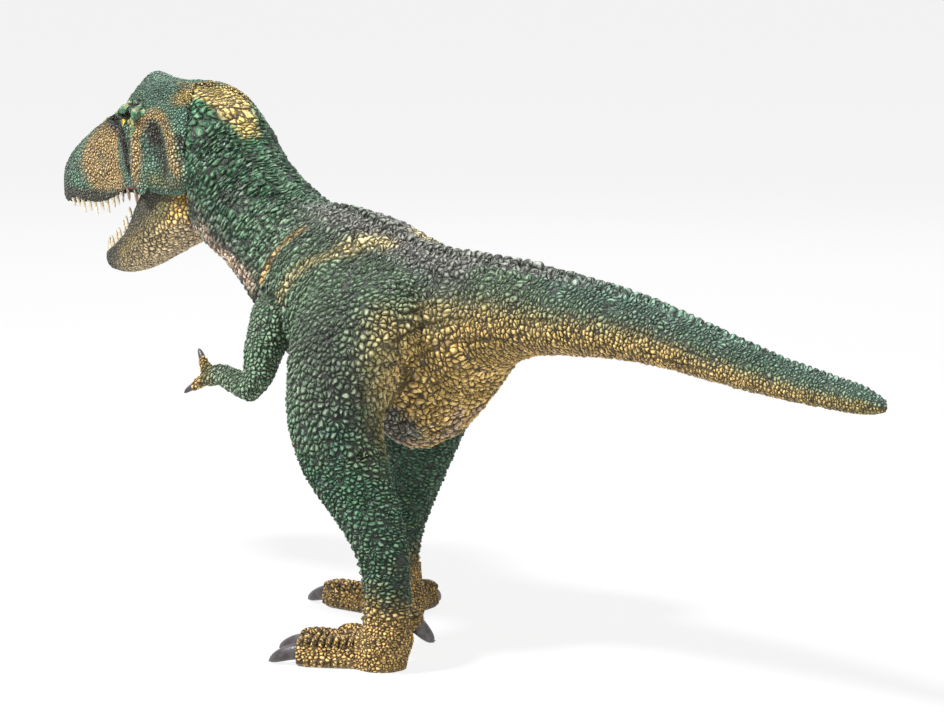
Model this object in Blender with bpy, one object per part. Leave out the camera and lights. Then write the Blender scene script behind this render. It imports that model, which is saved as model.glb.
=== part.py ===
"""Toy dinosaur figure standing on two feet, with a lower jaw that swings on a hinge pin.

Metres, +Z up. The animal faces -Y, its left side is +X, and its soles stand on z = 0.
"""
import math

import bmesh
import bpy
from mathutils import Vector

# Fits between pieces
FIT_GAP = 0.0003
PIN_GAP = 0.0003
SWING_GAP = 0.0006
CUT_OVERRUN = 0.003

# Body line from the head seam to the tip of the tail
NECK_LENGTH = 0.045
NECK_WIDTH = 0.030
NECK_DEPTH = 0.040
NECK_RISE = 0.026
NECK_PEG_RISE = 0.0105
TORSO_LENGTH = 0.076
TORSO_WIDTH = 0.041
TORSO_DEPTH = 0.050
TAIL_LENGTH = 0.099
TAIL_WIDTH = 0.0236
TAIL_DEPTH = 0.0195
TAIL_DROP = 0.0115

# Raised scales along the middle of the back, and studs over the eyes
SCUTE_RISE = 0.0007
SCUTE_WIDTH = 0.0036
SCUTE_SINK = 0.0012
STUD_RADIUS = 0.0015

# Upper head
HEAD_LENGTH = 0.0475
HEAD_WIDTH = 0.030
HEAD_DEPTH = 0.033
CROWN_RISE = 0.021

# Lower jaw, drawn open as it stands at rest
JAW_LENGTH = 0.033
JAW_WIDTH = 0.022
JAW_DEPTH = 0.022
JAW_CREST = 0.0045
JAW_DROP = 0.025
JAW_PIN_AHEAD = 0.0065
JAW_PIN_DEPTH = 0.0275
JAW_PIN_RADIUS = 0.0015
JAW_PIN_GRIP = 0.0013
JAW_SWING_RADIUS = 0.0085

# Mouth pieces
LIP_WALL = 0.0014
PALATE_RECESS = 0.0080
PALATE_THICKNESS = 0.0018
TROUGH_DEPTH = 0.0036
TOOTH_LENGTH = 0.0038
TOOTH_RADIUS = 0.00065
TONGUE_WIDTH = 0.0062
TONGUE_HEIGHT = 0.0026
LIP_SETBACK = 0.0006

# Legs and feet
HIP_HEIGHT = 0.088
BODY_SINK = 0.002
HIP_SETBACK = 0.046
LEG_OUTSET = 0.007
LEG_STRIDE = 0.036
THIGH_WIDTH = 0.022
THIGH_DEPTH = 0.034
TOE_LENGTH = 0.0285
TOE_RADIUS = 0.0036
SPUR_LENGTH = 0.0095

# Arms
SHOULDER_DROP = 0.007
ARM_LENGTH = 0.0190
ARM_RADIUS = 0.0048
FOREARM_LENGTH = 0.021
FINGER_LENGTH = 0.006
FINGER_RADIUS = 0.0014

# Locating pegs
PEG_RADIUS = 0.0042
PEG_LENGTH = 0.0065
ARM_PEG_RADIUS = 0.0024
ARM_PEG_LENGTH = 0.0091
LEG_PEG_INNER = 0.0095

# Heights and places that follow from the sizes above
NECK_FRONT_Y = -(NECK_LENGTH + HIP_SETBACK)
BODY_HEIGHT = HIP_HEIGHT - BODY_SINK
NECK_FRONT_HEIGHT = BODY_HEIGHT + NECK_RISE
HEAD_TOP_Z = NECK_FRONT_HEIGHT + CROWN_RISE
JAW_PIN_Y = NECK_FRONT_Y - JAW_PIN_AHEAD
JAW_PIN_Z = HEAD_TOP_Z - JAW_PIN_DEPTH
JAW_TOP_Z = JAW_PIN_Z + JAW_CREST
SHOULDER_HEIGHT = BODY_HEIGHT - SHOULDER_DROP
LEG_SPREAD = TORSO_WIDTH / 2 + LEG_OUTSET

# Points closer than this are one point
MERGE = 0.000001

# Rows from the front to the rear: along, centre height, half width, rise, drop, tilt, sweep
NECK_SHARES = (
    (0.00, 1.00, 0.440, 0.450, 0.470, 0, 0.85),
    (0.16, 0.88, 0.455, 0.430, 0.400, 8, 0.60),
    (0.36, 0.66, 0.450, 0.365, 0.350, 22, 0.25),
    (0.58, 0.42, 0.465, 0.340, 0.310, 28, 0.00),
    (0.80, 0.20, 0.520, 0.340, 0.340, 24, 0.00),
)
TORSO_SHARES = (
    (0.00, 1.000, 0.425, 0.345, 0.370, 14, 0.0),
    (0.13, 0.965, 0.480, 0.390, 0.440, 5, 0.0),
    (0.29, 0.930, 0.490, 0.405, 0.490, 0, 0.0),
    (0.45, 0.878, 0.450, 0.420, 0.565, -5, 0.0),
    (0.60, 0.872, 0.355, 0.405, 0.385, -14, 0.0),
    (0.76, 0.930, 0.305, 0.290, 0.245, -12, 0.0),
    (0.90, 0.960, 0.280, 0.220, 0.205, -6, 0.0),
    (1.00, 0.967, 0.265, 0.198, 0.185, 0, 0.0),
)
TAIL_SHARES = (
    (0.12, 0.03, 0.425, 0.450, 0.405, 4, 0.0),
    (0.26, 0.08, 0.365, 0.390, 0.350, 7, 0.0),
    (0.41, 0.23, 0.300, 0.325, 0.295, 10, 0.0),
    (0.57, 0.49, 0.246, 0.275, 0.240, 10, 0.0),
    (0.72, 0.71, 0.190, 0.225, 0.180, 8, 0.0),
    (0.86, 0.84, 0.148, 0.180, 0.145, 5, 0.0),
    (0.95, 0.91, 0.115, 0.140, 0.115, 4, 0.0),
    (1.00, 0.95, 0.060, 0.070, 0.060, 2, 0.0),
)
# Rows from the rear to the front: along, top, bottom, half width, sweep
HEAD_SHARES = (
    (0.00, 0.050, 0.970, 0.440, 0.85),
    (0.08, 0.010, 0.976, 0.480, 0.65),
    (0.20, 0.000, 0.955, 0.495, 0.35),
    (0.33, 0.050, 0.910, 0.430, 0.12),
    (0.43, 0.230, 0.900, 0.360, 0.00),
    (0.57, 0.320, 0.955, 0.350, 0.00),
    (0.71, 0.415, 1.030, 0.355, 0.00),
    (0.86, 0.560, 1.070, 0.325, 0.00),
    (0.95, 0.710, 1.075, 0.245, 0.00),
    (1.00, 0.850, 1.035, 0.140, 0.00),
)
JAW_SHARES = (
    (0.00, 0.14, 0.570, 0.450, 0.85),
    (0.09, 0.02, 0.820, 0.485, 0.60),
    (0.25, 0.02, 0.980, 0.485, 0.25),
    (0.40, 0.27, 0.810, 0.440, 0.05),
    (0.56, 0.58, 0.570, 0.360, 0.00),
    (0.74, 0.78, 0.420, 0.290, 0.00),
    (0.90, 0.89, 0.290, 0.225, 0.00),
    (1.00, 0.94, 0.170, 0.120, 0.00),
)
# Studs over the eye, then the eye itself: along and down the head, and size
STUD_SHARES = (
    (0.135, 0.290, 1.00),
    (0.205, 0.275, 1.10),
    (0.275, 0.280, 1.05),
    (0.340, 0.300, 0.85),
    (0.255, 0.385, 0.60),
)
# Rows of a stud from inside the skin outward: height and width as shares of its radius
STUD_PROFILE_SHARES = ((-0.9, 0.90), (0.0, 1.00), (0.4, 0.88), (0.72, 0.50))
# Rows of one raised scale: place along it and size
SCUTE_SHARES = ((0.06, 0.00), (0.25, 0.80), (0.50, 1.00), (0.75, 0.80))
# Leg rows from the hip down: sideways, forward, height, half width, half depth, lean
LEFT_LEG_SHARES = (
    (0.60, 0.26, 1.010, 0.25, 0.26, 0),
    (0.72, 0.27, 0.960, 0.40, 0.40, 0),
    (0.84, 0.28, 0.860, 0.49, 0.45, 0),
    (0.93, 0.31, 0.750, 0.51, 0.37, 2),
    (0.98, 0.30, 0.650, 0.485, 0.325, 12),
    (1.00, 0.22, 0.555, 0.430, 0.290, 28),
    (1.00, 0.08, 0.465, 0.350, 0.240, 32),
    (1.00, -0.06, 0.385, 0.300, 0.195, 22),
    (1.00, -0.15, 0.310, 0.255, 0.165, 8),
    (0.99, -0.18, 0.235, 0.230, 0.142, 0),
    (0.98, -0.19, 0.165, 0.235, 0.148, -4),
    (0.97, -0.16, 0.095, 0.260, 0.180, -8),
    (0.95, -0.08, 0.035, 0.265, 0.200, 0),
    (0.95, -0.07, -0.006, 0.255, 0.190, 0),
)
RIGHT_LEG_SHARES = (
    (0.58, 0.30, 1.010, 0.25, 0.26, 0),
    (0.68, 0.36, 0.960, 0.36, 0.38, 0),
    (0.74, 0.47, 0.860, 0.45, 0.42, -12),
    (0.78, 0.65, 0.750, 0.47, 0.38, -18),
    (0.84, 0.81, 0.650, 0.460, 0.335, -14),
    (0.86, 0.90, 0.555, 0.420, 0.305, -4),
    (0.83, 0.94, 0.465, 0.365, 0.255, 4),
    (0.79, 0.97, 0.385, 0.305, 0.208, 4),
    (0.74, 1.00, 0.310, 0.255, 0.172, 0),
    (0.70, 1.03, 0.235, 0.230, 0.145, -4),
    (0.67, 1.05, 0.165, 0.235, 0.150, -8),
    (0.66, 1.06, 0.095, 0.260, 0.180, -8),
    (0.66, 1.05, 0.035, 0.280, 0.215, 0),
    (0.66, 1.05, -0.006, 0.270, 0.205, 0),
)
# Toe rows from the ball of the foot: along, centre height, half width, half height
TOE_SHARES = (
    (0.00, 0.85, 1.00, 0.95),
    (0.25, 0.80, 1.02, 0.92),
    (0.45, 0.80, 1.00, 0.92),
    (0.62, 0.80, 0.98, 0.90),
    (0.72, 0.78, 0.75, 0.75),
    (0.74, 0.86, 0.48, 0.48),
    (0.86, 0.74, 0.40, 0.42),
    (0.95, 0.48, 0.28, 0.30),
    (1.00, 0.30, 0.10, 0.12),
)
# Each toe: heading away from straight ahead in degrees, length, start aside of and behind the ball
LEFT_TOE_SHARES = ((-16, 0.86, -0.5, 0.0), (9, 1.00, 0.0, 0.0), (36, 0.84, 0.4, 0.0))
RIGHT_TOE_SHARES = ((-6, 0.88, -1.0, 0.3), (30, 0.88, 0.0, 0.0), (78, 0.52, 0.4, 1.0))
BALL_FORWARD_SHARE = 0.25
# The small rear toe: along and size of its rows, then where it starts and which way it points
SPUR_SHARES = ((0.25, 0.62), (0.60, 0.60), (0.85, 0.56), (0.89, 0.40), (1.10, 0.32), (1.25, 0.12))
SPUR_ASIDE_SHARE = 0.5
SPUR_BACK_SHARE = 0.3
LEFT_SPUR_SHARES = (-0.62, 0.35, -0.78)
RIGHT_SPUR_SHARES = (0.62, -0.25, -0.78)
# Arm: the shoulder on the torso, then outward, forward and down for each length
SHOULDER_SHARES = (0.86, 0.04)
ELBOW_SHARES = (0.30, 0.05, 1.00)
WRIST_SHARES = (-0.05, 0.63, -0.12)
PALM_SHARES = (0.00, 0.22, 0.05)
UPPER_ARM_SHARES = ((0.0, 1.00), (0.5, 0.93), (0.85, 0.68))
FOREARM_SHARES = ((0.12, 0.62), (0.5, 0.56), (1.0, 0.46))
SHOULDER_CAP_SHARES = (0.7, 0.55)
PALM_SIZE_SHARE = 0.45
ARM_FLAT_SHARE = 1.05
FINGER_SHARES = ((-0.2, 1.0), (0.4, 0.95), (0.62, 0.8), (0.8, 0.55), (1.0, 0.2))
FINGER_TURN_SHARES = ((0.35, -0.75, -0.55), (-0.10, -0.55, 0.75))
# Mouth: where the trough and the teeth start along the jaw, and how a tooth is shaped
TROUGH_START_SHARE = 0.42
TOOTH_FIELD_SHARE = 0.56
TOOTH_START_SHARE = 0.4
TOOTH_SIZE_SHARES = (0.80, 1.00, 0.88, 1.06, 0.92)
TOOTH_PROFILE_SHARES = ((-0.35, 1.0), (0.5, 0.9), (1.0, 0.2))
TOOTH_SETBACK_SHARE = 1.35
TOOTH_LEAN_SHARE = 0.22
GUM_SHARE = 2
TONGUE_SPAN_SHARES = (0.52, 0.86)
TONGUE_TAPER_SHARES = (0.4, 0.8, 1.0, 1.0, 0.85, 0.35)
WAIST_SHARE = 0.5

# Counts of sides, rows between the given ones, and teeth on each side of the mouth
BODY_SIDES = 24
HEAD_SIDES = 24
MOUTH_SIDES = 16
LEG_SIDES = 18
TOE_SIDES = 10
ARM_SIDES = 16
ROD_SIDES = 16
FINGER_SIDES = 10
TONGUE_SIDES = 12
TOOTH_SIDES = 5
STUD_SIDES = 10
SCUTE_SIDES = 10
SCUTES = 22
STEPS = 2
UPPER_TEETH = 12
LOWER_TEETH = 9

# Roundness of a section's upper and lower half: 2 is an ellipse, more is squarer
CIRCLE_POWERS = (2, 2)
BODY_POWERS = (2.2, 2.2)
HEAD_POWERS = (2.3, 3.4)
JAW_POWERS = (3.4, 2.3)
POCKET_POWERS = (12, 12)
PALATE_POWERS = (5, 8)
FLOOR_POWERS = (8, 5)
TOE_POWERS = (2.4, 3)

# Places of the seams in the rows of the body
SHOULDER = len(NECK_SHARES)
TAIL_BASE = SHOULDER + len(TORSO_SHARES) - 1
TAIL_TIP = TAIL_BASE + len(TAIL_SHARES)

RIGHT = Vector((1, 0, 0))
BACK = Vector((0, 1, 0))
UP = Vector((0, 0, 1))


def clear_scene():
    for item in list(bpy.data.objects):
        bpy.data.objects.remove(item, do_unlink=True)


def material(name, colour, roughness):
    """A painted plastic with the given colour and roughness."""
    paint = bpy.data.materials.new(name)
    paint.use_nodes = True
    shader = paint.node_tree.nodes["Principled BSDF"]
    shader.inputs["Base Color"].default_value = (*colour, 1.0)
    shader.inputs["Roughness"].default_value = roughness
    shader.inputs["Metallic"].default_value = 0.0
    return paint


def spline(rows, steps):
    """Smooth rows between the given ones, by a Catmull-Rom curve through each column."""
    last = len(rows) - 1
    out = []
    for index in range(last):
        before = rows[max(index - 1, 0)]
        start, end = rows[index], rows[index + 1]
        after = rows[min(index + 2, last)]
        for step in range(steps):
            t = step / steps
            out.append(tuple(
                0.5 * ((2 * b) + (c - a) * t + (2 * a - 5 * b + 4 * c - d) * t * t
                       + (3 * b - a - 3 * c + d) * t * t * t)
                for a, b, c, d in zip(before, start, end, after)))
    out.append(tuple(rows[last]))
    return out


def row_at(rows, column, value):
    """The row whose given column equals the value, between the two nearest rows."""
    for start, end in zip(rows, rows[1:]):
        low, high = sorted((start[column], end[column]))
        if low <= value <= high and high > low:
            t = (value - start[column]) / (end[column] - start[column])
            return tuple(a + (b - a) * t for a, b in zip(start, end))
    first, last = rows[0], rows[-1]
    near = first if abs(first[column] - value) < abs(last[column] - value) else last
    return near


def bent(value, power):
    return math.copysign(abs(value) ** (2 / power), value)


def ring(centre, across, up, half_width, rise, drop, sides, powers=BODY_POWERS, sweep=0.0, swept=None):
    """One closed section: a rounded outline about a centre, with its own rise and drop."""
    points = []
    for side in range(sides):
        angle = 2 * math.pi * side / sides
        power = powers[0] if math.sin(angle) >= 0 else powers[1]
        sideways = bent(math.cos(angle), power) * half_width
        height = bent(math.sin(angle), power) * (rise if math.sin(angle) >= 0 else drop)
        point = centre + across * sideways + up * height
        if swept is not None:
            point = point + swept * (sweep * abs(sideways))
        points.append(point)
    return points


def solid(name, rings, paint=None):
    """A closed body through a row of rings, with each end closed by a fan."""
    mesh = bpy.data.meshes.new(name)
    sides = len(rings[0])
    verts = [point for points in rings for point in points]
    faces = []
    for level in range(len(rings) - 1):
        low, high = level * sides, (level + 1) * sides
        for side in range(sides):
            near = (side + 1) % sides
            faces.append((low + side, low + near, high + near, high + side))
    for level, flip in ((0, True), (len(rings) - 1, False)):
        points = rings[level]
        tip = len(verts)
        verts.append(cap_point(points))
        for side in range(sides):
            pair = (level * sides + side, level * sides + (side + 1) % sides)
            faces.append((pair[1], pair[0], tip) if flip else (pair[0], pair[1], tip))
    mesh.from_pydata([tuple(v) for v in verts], [], faces)
    item = bpy.data.objects.new(name, mesh)
    bpy.context.scene.collection.objects.link(item)
    face_outward(mesh)
    if paint:
        mesh.materials.append(paint)
    return item


def cap_point(points):
    """The middle of an end ring, level with its top and bottom points."""
    quarter = len(points) // 4
    return (points[quarter] + points[3 * quarter]) / 2


def face_outward(mesh):
    shape = bmesh.new()
    shape.from_mesh(mesh)
    bmesh.ops.recalc_face_normals(shape, faces=shape.faces)
    if shape.calc_volume(signed=True) < 0:
        bmesh.ops.reverse_faces(shape, faces=shape.faces)
    shape.to_mesh(mesh)
    shape.free()


def combine(item, tool, operation, solver="EXACT"):
    """Applies one Boolean step and removes the tool."""
    step = item.modifiers.new("step", "BOOLEAN")
    step.operation = operation
    step.solver = solver
    step.object = tool
    bpy.context.view_layer.update()
    graph = bpy.context.evaluated_depsgraph_get()
    mesh = bpy.data.meshes.new_from_object(item.evaluated_get(graph))
    old = item.data
    item.modifiers.clear()
    item.data = mesh
    mesh.name = item.name
    bpy.data.meshes.remove(old)
    spare = tool.data
    bpy.data.objects.remove(tool, do_unlink=True)
    bpy.data.meshes.remove(spare)
    return item


def cut(item, tool, solver="EXACT"):
    return combine(item, tool, "DIFFERENCE", solver)


def join(item, tool, solver="EXACT"):
    return combine(item, tool, "UNION", solver)


def rod(name, start, end, radius):
    """A plain round bar between two points."""
    axis = (end - start).normalized()
    across = axis.orthogonal().normalized()
    up = axis.cross(across)
    rings = [ring(place, across, up, radius, radius, radius, ROD_SIDES, CIRCLE_POWERS)
             for place in (start, end)]
    return solid(name, rings)


def box(name, low, high):
    rings = []
    for z in (low[2], high[2]):
        corners = ((low[0], low[1]), (high[0], low[1]), (high[0], high[1]), (low[0], high[1]))
        rings.append([Vector((x, y, z)) for x, y in corners])
    return solid(name, rings)


def tidy(item, angle=math.radians(50)):
    """Merges doubled points that the Boolean steps leave, and shades the round faces smooth."""
    shape = bmesh.new()
    shape.from_mesh(item.data)
    bmesh.ops.remove_doubles(shape, verts=shape.verts, dist=MERGE)
    bmesh.ops.triangulate(shape, faces=shape.faces)
    shape.to_mesh(item.data)
    shape.free()
    item.data.shade_smooth()
    item.data.set_sharp_from_angle(angle=angle)


# Neck, torso and tail


def body_rows():
    """Centre y, centre z, half width, rise, drop, tilt and sweep, all along the body."""
    rows = []
    torso_front = NECK_FRONT_Y + NECK_LENGTH
    torso_rear = torso_front + TORSO_LENGTH
    for along, height, width, rise, drop, tilt, sweep in NECK_SHARES:
        rows.append((NECK_FRONT_Y + along * NECK_LENGTH, BODY_HEIGHT + height * NECK_RISE,
                     width * NECK_WIDTH, rise * NECK_DEPTH, drop * NECK_DEPTH, tilt, sweep))
    for along, height, width, rise, drop, tilt, sweep in TORSO_SHARES:
        rows.append((torso_front + along * TORSO_LENGTH, height * BODY_HEIGHT,
                     width * TORSO_WIDTH, rise * TORSO_DEPTH, drop * TORSO_DEPTH, tilt, sweep))
    base = TORSO_SHARES[-1][1] * BODY_HEIGHT
    for along, height, width, rise, drop, tilt, sweep in TAIL_SHARES:
        rows.append((torso_rear + along * TAIL_LENGTH, base - height * TAIL_DROP,
                     width * TAIL_WIDTH, rise * TAIL_DEPTH, drop * TAIL_DEPTH, tilt, sweep))
    return rows


def body_ring(row, grow=0.0, shift=0.0):
    y, z, width, rise, drop, tilt, sweep = row
    lean = math.radians(tilt)
    up = Vector((0, math.sin(lean), math.cos(lean)))
    along = Vector((0, math.cos(lean), -math.sin(lean)))
    centre = Vector((0, y, z)) + along * shift
    return ring(centre, RIGHT, up, width + grow, rise + grow, drop + grow, BODY_SIDES,
                BODY_POWERS, sweep, along)


def body_piece(name, first, last, grow=0.0, front=0.0, rear=0.0, paint=None):
    """The stretch of the body between two rows; front and rear shift its end faces."""
    rows = spline(body_rows(), STEPS)[first * STEPS:last * STEPS + 1]
    rings = [body_ring(row, grow) for row in rows]
    rings[0] = body_ring(rows[0], grow, front)
    rings[-1] = body_ring(rows[-1], grow, rear)
    return solid(name, rings, paint)


def seam(index):
    """The middle of the seam at a row and the direction that runs back along the body."""
    y, z, width, rise, drop, tilt, sweep = body_rows()[index]
    lean = math.radians(tilt)
    return Vector((0, y, z)), Vector((0, math.cos(lean), -math.sin(lean)))


def seam_peg(name, index, grow=0.0):
    """A peg that runs back across a seam; grown by a clearance it cuts the socket."""
    middle, along = seam(index)
    return rod(name, middle - along * CUT_OVERRUN, middle + along * (PEG_LENGTH + grow), PEG_RADIUS + grow)


def neck_peg(name, grow=0.0):
    """A peg on the front of the neck that holds the head."""
    middle = Vector((0, NECK_FRONT_Y, NECK_FRONT_HEIGHT + NECK_PEG_RISE))
    return rod(name, middle + BACK * CUT_OVERRUN, middle - BACK * (PEG_LENGTH + grow), PEG_RADIUS + grow)


def make_neck(paint):
    neck = body_piece("neck", 0, SHOULDER, 0.0, FIT_GAP / 2, -FIT_GAP / 2, paint)
    join(neck, seam_peg("peg", SHOULDER))
    join(neck, neck_peg("peg"))
    return neck


def make_torso(paint):
    torso = body_piece("torso", SHOULDER, TAIL_BASE, 0.0, FIT_GAP / 2, -FIT_GAP / 2, paint)
    join(torso, scutes("scutes"), "MANIFOLD")
    cut(torso, seam_peg("socket", SHOULDER, FIT_GAP))
    middle, along = seam(TAIL_BASE)
    end = middle - along * (PEG_LENGTH + FIT_GAP)
    cut(torso, rod("socket", middle + along * CUT_OVERRUN, end, PEG_RADIUS + FIT_GAP))
    for side in (1, -1):
        cut(torso, leg_peg("socket", side, FIT_GAP))
        cut(torso, arm_peg("socket", side, FIT_GAP))
    return torso


def scutes(name):
    """A chain of low beads, half sunk in the top of the torso from seam to seam."""
    tops = []
    for row in spline(body_rows(), STEPS)[SHOULDER * STEPS:TAIL_BASE * STEPS + 1]:
        lean = math.radians(row[5])
        tops.append((row[0] + row[3] * math.sin(lean), row[1] + row[3] * math.cos(lean), row[5]))
    start, length = tops[0][0], tops[-1][0] - tops[0][0]
    rings = []
    for index in range(SCUTES):
        for along, size in SCUTE_SHARES:
            y, z, tilt = row_at(tops, 0, start + length * (index + along) / SCUTES)
            lean = math.radians(tilt)
            up = Vector((0, math.sin(lean), math.cos(lean)))
            centre = Vector((0, y, z)) - up * SCUTE_SINK
            half = SCUTE_WIDTH / 2 * (1 + size) / 2
            rise = SCUTE_SINK + SCUTE_RISE * (2 * size - 1)
            rings.append(ring(centre, RIGHT, up, half, rise, SCUTE_SINK, SCUTE_SIDES))
    return solid(name, rings)


def make_tail(paint):
    tail = body_piece("tail", TAIL_BASE, TAIL_TIP, 0.0, FIT_GAP / 2, 0.0, paint)
    middle, along = seam(TAIL_BASE)
    join(tail, rod("peg", middle + along * CUT_OVERRUN, middle - along * PEG_LENGTH, PEG_RADIUS))
    return tail


# Head and jaw


def head_rows():
    """Centre y, top, bottom, half width and sweep of the upper head, rear to front."""
    front = NECK_FRONT_Y - FIT_GAP / 2
    return spline([(front - along * HEAD_LENGTH, HEAD_TOP_Z - top * HEAD_DEPTH,
                    HEAD_TOP_Z - bottom * HEAD_DEPTH, width * HEAD_WIDTH, sweep)
                   for along, top, bottom, width, sweep in HEAD_SHARES], STEPS)


def jaw_rows():
    """Centre y, top, bottom, half width and sweep of the lower jaw, rear to front."""
    front = NECK_FRONT_Y - SWING_GAP - FIT_GAP
    rows = []
    for along, top, depth, width, sweep in JAW_SHARES:
        high = JAW_TOP_Z - top * JAW_DROP
        rows.append((front - along * JAW_LENGTH, high, high - depth * JAW_DEPTH, width * JAW_WIDTH, sweep))
    return spline(rows, STEPS)


def face_ring(row, powers, sides=HEAD_SIDES):
    y, top, bottom, width, sweep = row
    waist = bottom + (top - bottom) * WAIST_SHARE
    return ring(Vector((0, y, waist)), RIGHT, UP, width, top - waist, waist - bottom,
                sides, powers, sweep, BACK)


def mouth_rows(rows, start, end, inset, top_of, bottom_of):
    """Rows of a pocket or an insert between two places along a head or jaw."""
    places = [start] + [row[0] for row in rows if end < row[0] < start] + [end]
    out = []
    for y in places:
        row = row_at(rows, 0, y)
        out.append((y, top_of(row), bottom_of(row), max(row[3] - inset, TOOTH_RADIUS), 0.0))
    return out


def jaw_slot(name, grow):
    """The space in the head that the rear of the jaw swings in."""
    half = max(row[3] for row in jaw_rows()) + grow
    front = JAW_PIN_Y - JAW_SWING_RADIUS - grow
    low = HEAD_TOP_Z - HEAD_DEPTH - CUT_OVERRUN
    high = JAW_TOP_Z + grow
    return box(name, (-half, front, low), (half, NECK_FRONT_Y + HEAD_WIDTH, high))


def palate_space(name, inset, ceiling, floor_drop, start_gap, powers=POCKET_POWERS):
    """A pocket in the underside of the snout, following its lips."""
    rows = palate_rows(inset, ceiling, floor_drop, start_gap)
    return solid(name, [face_ring(row, powers, MOUTH_SIDES) for row in rows])


def palate_rows(inset, ceiling, floor_drop, start_gap):
    rows = head_rows()
    start = JAW_PIN_Y - JAW_SWING_RADIUS - start_gap
    return mouth_rows(rows, start, rows[-1][0] + inset, inset,
                      lambda row: row[2] + ceiling, lambda row: row[2] + floor_drop)


def make_head(paint):
    head = solid("head", [face_ring(row, HEAD_POWERS) for row in head_rows()], paint)
    cut(head, neck_peg("socket", FIT_GAP), "MANIFOLD")
    cut(head, jaw_slot("slot", SWING_GAP), "MANIFOLD")
    cut(head, palate_space("recess", LIP_WALL, PALATE_RECESS, -CUT_OVERRUN, -CUT_OVERRUN),
        "MANIFOLD")
    cut(head, jaw_pin_rod("bore", PIN_GAP), "MANIFOLD")
    for side in (1, -1):
        for along, down, size in STUD_SHARES:
            join(head, stud("stud", head, side, along, down, size * STUD_RADIUS), "MANIFOLD")
    return head


def stud(name, head, side, along, down, radius):
    """A small dome that stands on the side of the head."""
    y = NECK_FRONT_Y - along * HEAD_LENGTH
    start = Vector((side * HEAD_WIDTH, y, HEAD_TOP_Z - down * HEAD_DEPTH))
    found, place, normal, face = head.ray_cast(start, RIGHT * -side)
    across = normal.cross(UP).normalized()
    up = across.cross(normal)
    rings = [ring(place + normal * (height * radius), across, up, width * radius, width * radius,
                  width * radius, STUD_SIDES, CIRCLE_POWERS)
             for height, width in STUD_PROFILE_SHARES]
    return solid(name, rings)


def jaw_pin_rod(name, grow):
    half = max(row[3] for row in jaw_rows()) + SWING_GAP + JAW_PIN_GRIP + grow
    middle = Vector((0, JAW_PIN_Y, JAW_PIN_Z))
    return rod(name, middle - RIGHT * half, middle + RIGHT * half, JAW_PIN_RADIUS + grow)


def make_jaw_pin(paint):
    pin = jaw_pin_rod("jaw_pin", 0.0)
    pin.data.materials.append(paint)
    return pin


def make_jaw(paint):
    jaw = solid("lower_jaw", [face_ring(row, JAW_POWERS) for row in jaw_rows()], paint)
    cut(jaw, jaw_pin_rod("bore", PIN_GAP), "MANIFOLD")
    cut(jaw, trough_space("trough", LIP_WALL, -TROUGH_DEPTH, CUT_OVERRUN), "MANIFOLD")
    return jaw


def trough_space(name, inset, floor_drop, rise, powers=POCKET_POWERS):
    """A trough in the top of the jaw, following its lips."""
    rows = trough_rows(inset, floor_drop, rise, TROUGH_START_SHARE)
    return solid(name, [face_ring(row, powers, MOUTH_SIDES) for row in rows])


def trough_rows(inset, floor_drop, rise, start_share):
    rows = jaw_rows()
    start = rows[0][0] - JAW_LENGTH * start_share - inset
    return mouth_rows(rows, start, rows[-1][0] + inset, inset,
                      lambda row: row[1] + rise, lambda row: row[1] + floor_drop)


def tooth_row(name, rows, lip, count, hang):
    """Slender teeth along both lips and round the front, all in one mesh."""
    outline = [Vector((row[3], row[0], row[lip])) for row in rows]
    outline.append(Vector((0, outline[-1].y, outline[-1].z)))
    lengths = [0.0]
    for a, b in zip(outline, outline[1:]):
        lengths.append(lengths[-1] + (b - a).length)
    teeth = []
    for index in range(count):
        place = lengths[-1] * (index + TOOTH_START_SHARE) / count
        spot = point_along(outline, lengths, place)
        size = TOOTH_SIZE_SHARES[index % len(TOOTH_SIZE_SHARES)]
        for side in (1, -1):
            root = Vector((spot.x * side, spot.y, spot.z))
            teeth.append(tooth(root, TOOTH_LENGTH * size, hang))
    return merged(name, teeth)


def point_along(outline, lengths, place):
    for index in range(len(outline) - 1):
        if lengths[index] <= place <= lengths[index + 1]:
            t = (place - lengths[index]) / (lengths[index + 1] - lengths[index])
            return outline[index].lerp(outline[index + 1], t)
    return outline[-1]


def tooth(root, length, hang):
    """Rings of one pointed tooth that leans back toward the throat."""
    rings = []
    for share, width in TOOTH_PROFILE_SHARES:
        lean = length * TOOTH_LEAN_SHARE * max(share, 0) ** 2
        centre = root + UP * (hang * length * share) + BACK * lean
        radius = TOOTH_RADIUS * width
        rings.append(ring(centre, RIGHT, BACK, radius, radius, radius, TOOTH_SIDES, CIRCLE_POWERS))
    return rings


def merged(name, bodies):
    """Several ring bodies in one mesh object."""
    first = None
    for rings in bodies:
        item = solid(name, rings)
        if first is None:
            first = bmesh.new()
        first.from_mesh(item.data)
        mesh = item.data
        bpy.data.objects.remove(item, do_unlink=True)
        bpy.data.meshes.remove(mesh)
    mesh = bpy.data.meshes.new(name)
    first.to_mesh(mesh)
    first.free()
    item = bpy.data.objects.new(name, mesh)
    bpy.context.scene.collection.objects.link(item)
    return item


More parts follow.
